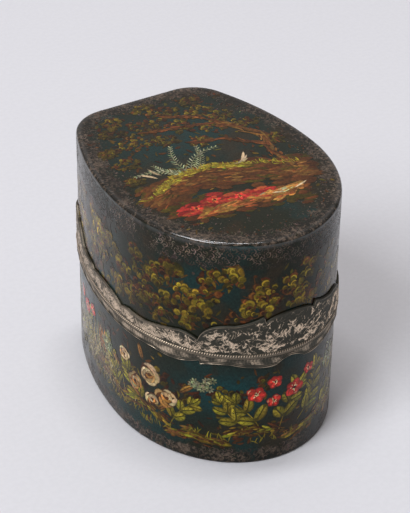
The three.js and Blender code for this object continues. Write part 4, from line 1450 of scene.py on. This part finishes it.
def make_lid_band(settings, material):
    """The chased band of the lid: a fine rim, cut leaves and faint scrolls, and a strip for the rope."""
    stations = even_stations(round(LENGTH / BAND_STATION))
    top = JOINT_Z + lid_band_height(stations)
    low = [JOINT_Z + groove_rise(stations, out) for out in (BAND_INSIDE, BAND_OUTSIDE)]
    height, distance = band_grid(stations, low[1], top, LID_BAND_ROWS)
    over_joint = height - JOINT_Z
    under_edge = top[:, None] - height
    seed = settings.seed
    rim = ridge(distance, height, both_sides(dense(LID_BAND_EDGE)) + [0, JOINT_Z - 0.28 * MM], 0.14 * MM)
    scrolls = band_scrolls(lid_band_height, 1.35 * MM, seed) + [0, JOINT_Z]
    scrolls = ridge(distance, height, scrolls, 0.2 * MM)
    leaves = fronds_field(lid_band_height, 1.3 * MM, 460, seed)
    blades, tones = ridge(distance, height, leaves, 0.26 * MM)
    veins = ridge(distance, height, leaves[:, :2], ENGRAVED_LINE)
    inside = smooth_step(over_joint, 1.2 * MM, 1.45 * MM) * smooth_step(under_edge, 0.4 * MM, 0.65 * MM)
    lower = fade_out(over_joint / (top - JOINT_Z)[:, None], 0.35, 0.85)
    rich = np.clip(0.1 + 0.75 * lower + 0.8 * (cloud(distance, height, 6.0 * MM, seed) - 0.5), 0, 1)
    rubbed = handled(distance)
    hatch = hatching(distance, height, (0.075 + 0.05 * rubbed) * MM, seed)
    leaf = np.clip(np.maximum(blades, 0.8 * scrolls) * 1.5 - 0.25, 0, 1) * tones
    leaf = leaf * (0.75 + 0.25 * hatch) * (1 - 0.6 * veins)
    sketch = fronds_field(lid_band_height, 1.3 * MM, 900, seed + 3)[:, :2]
    sketch = ridge(distance, height, sketch, ENGRAVED_LINE)
    mottle = cloud(distance, height, 1.3 * MM, seed + 2) - 0.5
    chased = leaf * (0.24 + 0.72 * rich) + 0.15 * mottle + 0.08 * hatch
    chased = chased + (0.45 + 0.45 * rubbed) * sketch - 0.08 - 0.16 * rubbed
    level = 0.2 + 0.2 * rubbed + inside * (1 - 0.68 * rubbed) * chased
    level = level + 0.05 * punched(distance, height, seed)
    plain = fade_out(over_joint, 1.15 * MM, 1.3 * MM)
    level = np.maximum(level, 0.5 * rim) * (1 - plain) + 0.4 * plain
    fall = fade_out(under_edge, 0.0, 0.12 * MM) * 0.5
    relief = settings.relief * (level - MEAN_LEVEL - fall)
    band_piece("lid_mount_chased", stations, low, [top, top], relief, level, material, "lid", "lid_mount")


def dense(line):
    """A line of points with others filled in between, so that ridges along it run smoothly."""
    lengths = np.concatenate([[0], np.cumsum(np.hypot(*np.diff(line, axis=0).T))])
    along = np.arange(0, lengths[-1], 0.06 * MM)
    return np.stack([np.interp(along, lengths, line[:, k]) for k in range(2)], 1)


def make_base_band(settings, material):
    """The band of the base: a finely worked strip under the joint and four ribs along its shaped edge."""
    stations = even_stations(round(LENGTH / BAND_STATION))
    high = [BASE_TOP_Z - groove_rise(stations, out) for out in (BAND_INSIDE, BAND_OUTSIDE)]
    bottom = BASE_TOP_Z - edge_at(BASE_BAND_EDGE, stations)
    height, distance = band_grid(stations, bottom, high[1], BASE_BAND_ROWS)
    above = height - bottom[:, None]
    ribs = sum(tall * np.exp(-((above - place * MM) / (0.11 * MM)) ** 2)
               for place, tall in ((0.18, 1.0), (0.6, 0.8), (1.05, 0.7), (1.5, 0.75)))
    phase = 2 * math.pi * distance / (0.75 * MM)
    wave = np.sin(phase + 1.6 * np.sin((BASE_TOP_Z - height) / (0.3 * MM)))
    patches = cloud(distance, height, 4.0 * MM, settings.seed + 1) - 0.5
    waved = 0.36 + 0.1 * handled(distance) + 0.05 * wave + 0.16 * patches
    waved = waved + 0.1 * punched(distance, height, settings.seed)
    lined = (0.62 + 0.3 * patches) * ribs
    level = np.clip(np.maximum(lined, waved * smooth_step(above, 0.75 * MM, 0.9 * MM)), 0, 1)
    fall = 0.5 * fade_out(above, 0.0, 0.1 * MM)
    relief = settings.relief * (level - MEAN_LEVEL - fall)
    band_piece("base_mount_chased", stations, [bottom, bottom], high, relief, level, material, "base",
               "base_mount")


def make_rope(settings, material):
    """The rope border: a twisted wire along the lid band, left open at the hinge groove.

    Its radius at an angle round it is raised and lowered by the cosine of the angle less the twist.
    """
    stations = np.linspace(-HALF_LENGTH, HALF_LENGTH, ROPE_RINGS)
    stations = stations[groove_rise(stations, BAND_OUTSIDE + settings.rope_radius) < ROPE_END_RISE]
    angle = 2 * math.pi * np.arange(ROPE_SIDES) / ROPE_SIDES
    lobes = np.cos(angle - 2 * math.pi * stations[:, None] / settings.rope_pitch)
    end = np.minimum(stations - stations[0], stations[-1] - stations)[:, None]
    taper = np.sqrt(np.clip(end / settings.rope_radius, 0.0, 1.0))
    radius = settings.rope_radius * (0.88 + 0.12 * lobes) * taper
    out = BAND_OUTSIDE - ROPE_SEAT + radius * np.cos(angle)
    points = on_wall(stations[:, None], ROPE_Z + 1.1 * radius * np.sin(angle), out)
    piece = make_piece("lid_rope_border_twisted", points, tube_faces(len(stations), ROPE_SIDES), material,
                       "lid", ("lid_rope_border",), 75.0)
    add_values(piece, "relief", 0.43 + 0.14 * handled(stations)[:, None] + 0.2 * lobes)


def pin_nodes(body):
    """Names of the mount pins that ride on a body."""
    members = frame["record"]["behaviour"]["bodies"][body]
    return [name for name in members if "_mount_pin_" in name]


def make_pin_heads(material, body):
    """Low domed pin heads, each turned round the direction out of the wall at its node's place."""
    names = pin_nodes(body)
    angle = 2 * math.pi * np.arange(PIN_SIDES)[:, None] / PIN_SIDES
    radius, out = PIN_PROFILE.T[:, :, None, None]
    distances = np.linspace(-HALF_LENGTH, HALF_LENGTH, PIN_PLACES)
    outline = on_wall(distances, 0.0, 0.0)
    points, faces = [], []
    for name in names:
        low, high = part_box(name)
        centre = (low + high) / 2
        gap = np.hypot(outline[:, 0] - centre.x, outline[:, 1] - centre.y)
        x, y, nx, ny = wall_frame(distances[gap.argmin()])
        rim = np.cos(angle) * np.array([-ny, nx, 0.0]) + np.sin(angle) * np.array([0, 0, 1.0])
        foot = np.array([x, y, centre.z])
        start = len(points) * len(PIN_PROFILE) * PIN_SIDES
        points.append((foot + out * np.array([nx, ny, 0.0]) + radius * rim).reshape(-1, 3))
        faces += [[start + corner for corner in face] for face in tube_faces(len(PIN_PROFILE), PIN_SIDES)]
    points = np.concatenate(points)
    piece = make_piece(f"{body}_mount_pins_domed", points, faces, material, body, names, 50.0)
    add_values(piece, "relief", np.full(len(points), 0.5))


# Collar, linings and dividers


def out_of(node):
    """How far a node's outer face stands out from the wall's face, from its box."""
    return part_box(node)[1].x - HALF_WIDTH


def rounded(centre_out, centre_up, radius, start, end, count=6):
    """Points of an arc in a section, between two angles in degrees."""
    turn = np.radians(np.linspace(start, end, count))
    return [(centre_out + radius * math.cos(a), centre_up + radius * math.sin(a)) for a in turn]


def make_collar(material):
    """The silver collar that the lid closes over, with a rounded lip and a fine turned line.

    It is a section of (out, height) points that goes round the wall.
    """
    low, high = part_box("base_collar")
    outside = out_of("base_collar")
    thick = 0.6 * MM
    lip = 0.25 * MM
    inner_lip = 0.12 * MM
    line = high.z - 0.9 * MM
    cut = outside - 0.07 * MM
    section = [(outside - thick, low.z), (outside, low.z), (outside, line - 0.16 * MM),
               (cut, line - 0.06 * MM), (cut, line + 0.06 * MM), (outside, line + 0.16 * MM)]
    section += rounded(outside - lip, high.z - lip, lip, 0, 90)
    section += rounded(outside - thick + inner_lip, high.z - inner_lip, inner_lip, 90, 180)
    out, up = np.array(section).T
    stations = even_stations(RING_STATIONS)
    faces = grid_faces(len(stations), len(section), True, True)
    make_piece("base_collar_lipped", on_wall(stations[:, None], up, out), faces, material, "base",
               ("base_collar",), 50.0)


def make_lining(name, node, body, floor_z, rim_z, material):
    """A silk-covered tray: its floor, wall and rounded rim, with soft puckers that fade to the rim.

    floor_z is the shut end and rim_z the open one, so the same sections make the lid's lining, which
    opens downwards, and the base's, which opens upwards.
    """
    thick = 0.7 * MM
    half = thick / 2
    outside = out_of(node)
    inside = outside - thick
    stations = even_stations(RING_STATIONS)
    way = 1.0 if rim_z > floor_z else -1.0
    inner_floor = floor_z + way * thick
    rim = rim_z - way * half
    columns = [(outside, floor_z, share) for share in (0.4, 0.75, 1.0)]
    columns += [(outside, height, 1.0) for height in np.linspace(floor_z, rim, 7)[1:-1]]
    for turn in np.radians(np.linspace(0, 180, 9)):
        columns.append((outside - half + half * math.cos(turn), rim + way * half * math.sin(turn), 1.0))
    for height in np.linspace(rim, inner_floor + way * 0.6 * MM, 12)[1:]:
        fade = fade_out(abs(height - inner_floor), 1.0 * MM, 9.0 * MM)
        pucker = 0.05 * MM * fade * np.sin(2 * math.pi * 34 * stations / LENGTH + 0.8 * height / MM)
        columns.append((inside + pucker, height, 1.0))
    columns.append((inside - 0.25 * MM, inner_floor + way * 0.12 * MM, 1.0))
    columns += [(inside - 0.6 * MM, inner_floor, share) for share in (1.0, 0.75, 0.4)]
    poles = (floor_z, inner_floor)
    if way < 0:
        columns, poles = columns[::-1], poles[::-1]
    piece, grid = shell_piece(name, columns, stations, poles, material, body, (node,), 50.0)
    on_floor = np.array([share < 1.0 for _, _, share in columns])
    across = np.where(on_floor, grid[..., 0], stations[:, None])
    up = np.where(on_floor, grid[..., 1], grid[..., 2])
    add_surface_map(piece, np.append(across, [0.0, 0.0]), np.append(up, [PLAN_CENTRE[1]] * 2), LENGTH)


def board_piece(name, node, along_x, material):
    """A silk-covered board with rounded edges, whose ends follow the lining or a facing board.

    Its section is a rounded rectangle carried along the board, and each point of it stops at the
    board's own reach there.
    """
    low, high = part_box(node)
    half = 0.8 * MM
    edge = 0.3 * MM
    lining_face = out_of("base_lining") - 0.85 * MM
    section = []
    for x, level, start in ((1, high.z - edge, 0), (-1, high.z - edge, 90), (-1, low.z + edge, 180),
                            (1, low.z + edge, 270)):
        section += rounded(x * (half - edge), level, edge, start, start + 90, 5)
    off, up = np.array(section).T
    along = np.linspace(-1, 1, BOARD_RINGS)[:, None]
    if along_x:
        y = (low.y + high.y) / 2 - off
        inner = on_wall(np.linspace(0, HALF_LENGTH, BOARD_END_SAMPLES), 0.0, lining_face)
        points = np.broadcast_arrays(along * np.interp(y, inner[:, 1], inner[:, 0]), y, up)
    else:
        points = np.broadcast_arrays(off, np.interp(along, [-1, 1], [low.y, high.y]), up)
    piece = make_piece(name, np.stack(points, -1), tube_faces(BOARD_RINGS, len(off)), material, "base",
                       (node,), 50.0)
    length = points[0 if along_x else 1]
    run = np.concatenate([[0], np.cumsum(np.hypot(np.diff(off), np.diff(up)))])
    add_surface_map(piece, length, np.broadcast_to(run, length.shape))


# Settings


def colour_property(name, description, colour):
    """A colour that the user may change."""
    return FloatVectorProperty(name=name, description=description, subtype="COLOR", size=3, min=0, max=1,
                               default=linear(*colour))


def number_property(name, description, default, **kind):
    """A number that the user may change, with its unit or subtype."""
    return FloatProperty(name=name, description=description, default=default, **kind)


def length_property(name, description, millimetres):
    """A length that the user may change."""
    return number_property(name, description, millimetres * MM, unit="LENGTH", precision=6)


def angle_property(name, description, degrees):
    """An angle that the user may change."""
    return number_property(name, description, math.radians(degrees), subtype="ANGLE")


class LacquerSettings(bpy.types.PropertyGroup):
    """The ground of the lacquer."""

    ground: colour_property("Ground", "Green-black of the lacquer", (25, 29, 17))
    teal: colour_property("Teal", "Blue-green clouds in the ground", (8, 54, 56))
    brown: colour_property("Brown", "Brown clouds in the ground", (46, 35, 20))
    border_dark: colour_property("Border dark", "Dark part of the worn edges", (28, 27, 22))
    border_worn: colour_property("Border worn", "Light part of the worn edges", (100, 85, 72))
    ripple: length_property("Ripple", "Depth of the hand-made unevenness", 0.03)


class PaintSettings(bpy.types.PropertyGroup):
    """The colours of the painting."""

    under_paint: colour_property("Under paint", "Tone that stroke edges fade to", (34, 33, 26))
    olive: colour_property("Olive", "Yellow-olive of the round leaves", (168, 140, 38))
    light_leaf: colour_property("Light leaf", "Yellow-green of the leaves' light sides", (176, 160, 46))
    pale_leaf: colour_property("Pale leaf", "Grey-green of the pale clusters", (160, 162, 122))
    rust: colour_property("Rust", "Rust-brown leaves and earth", (128, 74, 30))
    ochre: colour_property("Ochre", "Ochre of earth and petals", (196, 136, 62))
    red: colour_property("Red", "Red of the open blossoms", (196, 52, 42))
    cream: colour_property("Cream", "Cream petals and rims", (234, 208, 158))
    heart: colour_property("Heart", "Dark middle of a blossom", (70, 28, 22))
    border: colour_property("Border", "Brown-grey of the scroll borders", (112, 96, 84))
    softness: number_property("Softness", "How far stroke edges fade to the ground", 0.6, min=0, max=1,
                              subtype="FACTOR")
    seed: IntProperty(name="Seed", description="Start of the painting's random numbers", default=11)


class SilverSettings(bpy.types.PropertyGroup):
    """The silver mounts."""

    bright: colour_property("Bright", "Rubbed silver", (228, 206, 180))
    oxide: colour_property("Oxide", "Tarnish in the hollows", (70, 69, 62))
    steel: colour_property("Steel", "Hinge pin", (150, 148, 144))
    relief: length_property("Relief", "Height of the chasing", 0.2)
    rope_radius: length_property("Rope radius", "Radius of the twisted rope border", 0.25)
    rope_pitch: length_property("Rope pitch", "Length of one full twist", 0.55)
    seed: IntProperty(name="Seed", description="Start of the chasing's random numbers", default=5)


class LiningSettings(bpy.types.PropertyGroup):
    """The silk inside."""

    silk: colour_property("Silk", "Crimson silk", (118, 26, 34))
    faded_silk: colour_property("Faded silk", "Silk where the light has reached it", (142, 52, 50))
    thread: length_property("Thread", "Spacing of the silk's ribs", 0.24)


class StageSettings(bpy.types.PropertyGroup):
    """Floor, lights and camera."""

    floor: colour_property("Floor", "Pale paper under the case", (222, 221, 224))
    world: colour_property("World", "Soft light all round", (244, 236, 234))
    world_strength: number_property("World strength", "Strength of the soft light", 0.32)
    front_strength: number_property("Front strength", "Share of it that the dark side gives", 0.25)
    backdrop_strength: number_property("Backdrop strength", "Extra strength behind the case", 0.36)
    key: colour_property("Key", "Colour of the lamps", (247, 250, 255))
    key_power: number_property("Key power", "Power of the lamp at the left", 96.0, unit="POWER")
    top_power: number_property("Top power", "Power of the lamp above", 5.0, unit="POWER")
    aim: FloatVectorProperty(name="Aim", description="Point that the camera looks at", subtype="XYZ",
                             unit="LENGTH", default=(2.86 * MM, 6.68 * MM, 28.94 * MM))
    azimuth: angle_property("Azimuth", "Camera's turn round the case", -31.97)
    elevation: angle_property("Elevation", "Camera's height over the horizon", 34.22)
    roll: angle_property("Roll", "Camera's turn about its own line", 0.96)
    distance: length_property("Distance", "From the camera to its aim", 433.0)
    lens: number_property("Lens", "Focal length in millimetres", 133.5)


# Operators


class CASE_OT_shells(bpy.types.Operator):
    """Make the lacquered shells of the lid and the base"""

    bl_idname = "case.shells"
    bl_label = "Lacquered shells"

    def execute(self, context):
        settings = context.scene.case_lacquer
        material = lacquer_material(settings)
        make_lid_shell(settings, material)
        make_base_shell(settings, material)
        return {"FINISHED"}


class CASE_OT_lid_painting(bpy.types.Operator):
    """Paint the foliage, scroll lines and flowering bank of the lid"""

    bl_idname = "case.lid_painting"
    bl_label = "Lid painting"

    def execute(self, context):
        wall = over_lid_band(FOLIAGE_TOP)
        line = over_lid_band(SCROLL_LINE_TOP)
        rim = between_heights(*RIM_PAINT)
        paint_pictures(context, "lid", (
            ("lid_wall_foliage", paint_high_foliage, 0, on_wall, wall),
            ("lid_wall_low_foliage", paint_low_foliage, 20, on_wall, wall),
            ("lid_wall_scroll_line", paint_lid_edge, 1, on_wall, line),
            ("lid_top_border", paint_top_border, 2, on_rim, rim),
            ("lid_top_ground", paint_top_ground, 3, on_top, on_top_face),
            ("lid_top_flowers", paint_top_flowers, 6, on_top, on_top_face),
        ))
        return {"FINISHED"}


class CASE_OT_base_painting(bpy.types.Operator):
    """Paint the flower sprays and the foot border of the base"""

    bl_idname = "case.base_painting"
    bl_label = "Base painting"

    def execute(self, context):
        wall = between_heights(*BASE_PAINT)
        paint_pictures(context, "base", (
            ("base_wall_ground", paint_base_ground, 4, on_wall, wall),
            ("base_wall_flowers", paint_base_flowers, 5, on_wall, wall),
            ("base_wall_foot_border", paint_base_edge, 7, on_wall, wall),
        ))
        return {"FINISHED"}


class CASE_OT_silver_bands(bpy.types.Operator):
    """Make the chased silver bands, the rope border and the pin heads"""

    bl_idname = "case.silver_bands"
    bl_label = "Silver bands"

    def execute(self, context):
        settings = context.scene.case_silver
        material = silver_material(settings, "chased_silver", "relief")
        for make in (make_lid_band, make_base_band, make_rope):
            make(settings, material)
        for body in ("lid", "base"):
            make_pin_heads(material, body)
        return {"FINISHED"}


class CASE_OT_collar(bpy.types.Operator):
    """Make the silver collar inside the joint"""

    bl_idname = "case.collar"
    bl_label = "Collar"

    def execute(self, context):
        make_collar(plain_silver(context))
        return {"FINISHED"}


class CASE_OT_hinge(bpy.types.Operator):
    """Finish the hinge leaves and the hinge pin"""

    bl_idname = "case.hinge"
    bl_label = "Hinge"

    def execute(self, context):
        silver = plain_silver(context)
        steel = steel_material(context.scene.case_silver)
        for name, material in (("base_hinge_leaf", silver), ("lid_hinge_leaf", silver), ("hinge_pin", steel)):
            node = frame["nodes"][name]
            node.data.materials.clear()
            node.data.materials.append(material)
        return {"FINISHED"}


class CASE_OT_linings(bpy.types.Operator):
    """Make the silk linings and the covered dividers"""

    bl_idname = "case.linings"
    bl_label = "Linings and dividers"

    def execute(self, context):
        material = silk_material(context.scene.case_lining)
        low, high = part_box("lid_lining")
        make_lining("lid_lining_silk", "lid_lining", "lid", high.z, low.z, material)
        low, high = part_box("base_lining")
        make_lining("base_lining_silk", "base_lining", "base", low.z, high.z, material)
        for node, along_x in (("front_divider", True), ("back_divider", True), ("middle_divider", False)):
            board_piece(f"{node}_silk", node, along_x, material)
        return {"FINISHED"}


class CASE_OT_stage(bpy.types.Operator):
    """Set the floor, the lights and the camera"""

    bl_idname = "case.stage"
    bl_label = "Stage"

    def execute(self, context):
        settings = context.scene.case_stage
        make_floor(settings)
        light_world(settings)
        area_light("key_light", KEY_PLACE, KEY_SIZE, settings.key_power, settings.key)
        area_light("top_light", TOP_PLACE, TOP_SIZE, settings.top_power, settings.key, TOP_TURN)
        place_camera(settings)
        context.scene.view_settings.view_transform = "Standard"
        return {"FINISHED"}


def plain_silver(context):
    """The material of the plain silver pieces, made once."""
    found = bpy.data.materials.get("plain_silver")
    return found or silver_material(context.scene.case_silver, "plain_silver", 0.6)


# Stage


def make_floor(settings):
    """A wide sheet of pale paper with a very faint tooth."""
    corners = np.array([(-1, -1, 0), (1, -1, 0), (1, 1, 0), (-1, 1, 0)]) * FLOOR_REACH
    mesh = bpy.data.meshes.new("floor")
    mesh.from_pydata(corners.tolist(), [], [(0, 1, 2, 3)])
    floor = bpy.data.objects.new("floor", mesh)
    bpy.context.scene.collection.objects.link(floor)
    material, web, shader = new_material("paper", Roughness=0.75)
    place = web.place()
    faint = web.ramp(web.noise(place, 0.8, 3.0), 0.3, 0.7, 0.985, 1.015)
    web.join(shader.inputs["Base Color"], web.tinted(settings.floor, faint))
    mesh.materials.append(material)


def light_world(settings):
    """A dim room: paler overhead, darkest low down and on the camera's side, with a bright backdrop."""
    world = bpy.data.worlds.new("studio")
    world.use_nodes = True
    web = Web(world.node_tree)
    background = world.node_tree.nodes["Background"]
    web.join(background.inputs["Color"], settings.world)
    direction = web.node("ShaderNodeTexCoord").outputs["Generated"]
    room = (-math.sin(-settings.azimuth), -math.cos(settings.azimuth), 0.0)
    facing = web.node("ShaderNodeVectorMath", {0: direction, 1: room}, operation="DOT_PRODUCT")
    facing = facing.outputs["Value"]
    height = web.node("ShaderNodeSeparateXYZ", {0: direction}).outputs[2]
    strength = settings.world_strength
    front = web.ramp(facing, 0.15, 0.85, strength, strength * settings.front_strength)
    low = web.ramp(height, 0.1, 0.6, 0.3, 1.15)
    backdrop = web.ramp(facing, -0.9, -0.55, settings.backdrop_strength, 0.0)
    web.join(background.inputs["Strength"], web.maths("MULTIPLY_ADD", front, low, backdrop))
    bpy.context.scene.world = world


def area_light(name, place, size, power, colour, turn=0.0):
    """A lamp with a width and a length that faces the case, turned about its own line."""
    lamp = bpy.data.lights.new(name, "AREA")
    lamp.shape = "RECTANGLE"
    lamp.size, lamp.size_y = size
    lamp.energy = power
    lamp.color = colour
    holder = bpy.data.objects.new(name, lamp)
    bpy.context.scene.collection.objects.link(holder)
    holder.location = place
    holder.rotation_mode = "QUATERNION"
    facing = (Vector((0, 0, JOINT_Z)) - Vector(place)).to_track_quat("-Z", "Y")
    holder.rotation_quaternion = facing @ Quaternion((0, 0, 1), turn)


def place_camera(settings):
    """The camera at its turn, height and distance round its aim, rolled about its own line."""
    lens = bpy.data.cameras.new("camera")
    lens.lens = settings.lens
    lens.clip_start = NEAREST_SEEN
    lens.clip_end = FARTHEST_SEEN
    camera = bpy.data.objects.new("camera", lens)
    bpy.context.scene.collection.objects.link(camera)
    flat = math.cos(settings.elevation)
    back = Vector((math.sin(settings.azimuth) * flat, -math.cos(settings.azimuth) * flat,
                   math.sin(settings.elevation)))
    facing = (-back).to_track_quat("-Z", "Y").to_matrix().to_4x4()
    place = Matrix.Translation(Vector(settings.aim) + back * settings.distance)
    camera.matrix_world = place @ facing @ Matrix.Rotation(settings.roll, 4, "Z")
    bpy.context.scene.camera = camera


class CASE_PT_panel(bpy.types.Panel):
    """Lists the steps that make the case"""

    bl_label = "Case"
    bl_idname = "CASE_PT_panel"
    bl_space_type = "VIEW_3D"
    bl_region_type = "UI"
    bl_category = "Case"

    def draw(self, context):
        for step in STEPS:
            self.layout.operator(step.bl_idname)


STEPS = (
    CASE_OT_shells,
    CASE_OT_lid_painting,
    CASE_OT_base_painting,
    CASE_OT_silver_bands,
    CASE_OT_collar,
    CASE_OT_hinge,
    CASE_OT_linings,
    CASE_OT_stage,
)

SETTINGS = (
    ("case_lacquer", LacquerSettings),
    ("case_paint", PaintSettings),
    ("case_silver", SilverSettings),
    ("case_lining", LiningSettings),
    ("case_stage", StageSettings),
)

CLASSES = (
    *(group for _, group in SETTINGS),
    *STEPS,
    CASE_PT_panel,
)


def register():
    """Registers the classes and hangs the settings on the scene."""
    for made in CLASSES:
        bpy.utils.register_class(made)
    for name, group in SETTINGS:
        setattr(bpy.types.Scene, name, PointerProperty(type=group))


def unregister():
    """Takes the settings and classes away again."""
    for name, _ in SETTINGS:
        delattr(bpy.types.Scene, name)
    for made in reversed(CLASSES):
        bpy.utils.unregister_class(made)


def main():
    """Makes every piece in order."""
    register()
    for step in STEPS:
        group, name = step.bl_idname.split(".")
        getattr(getattr(bpy.ops, group), name)()


if __name__ == "__main__":
    main()
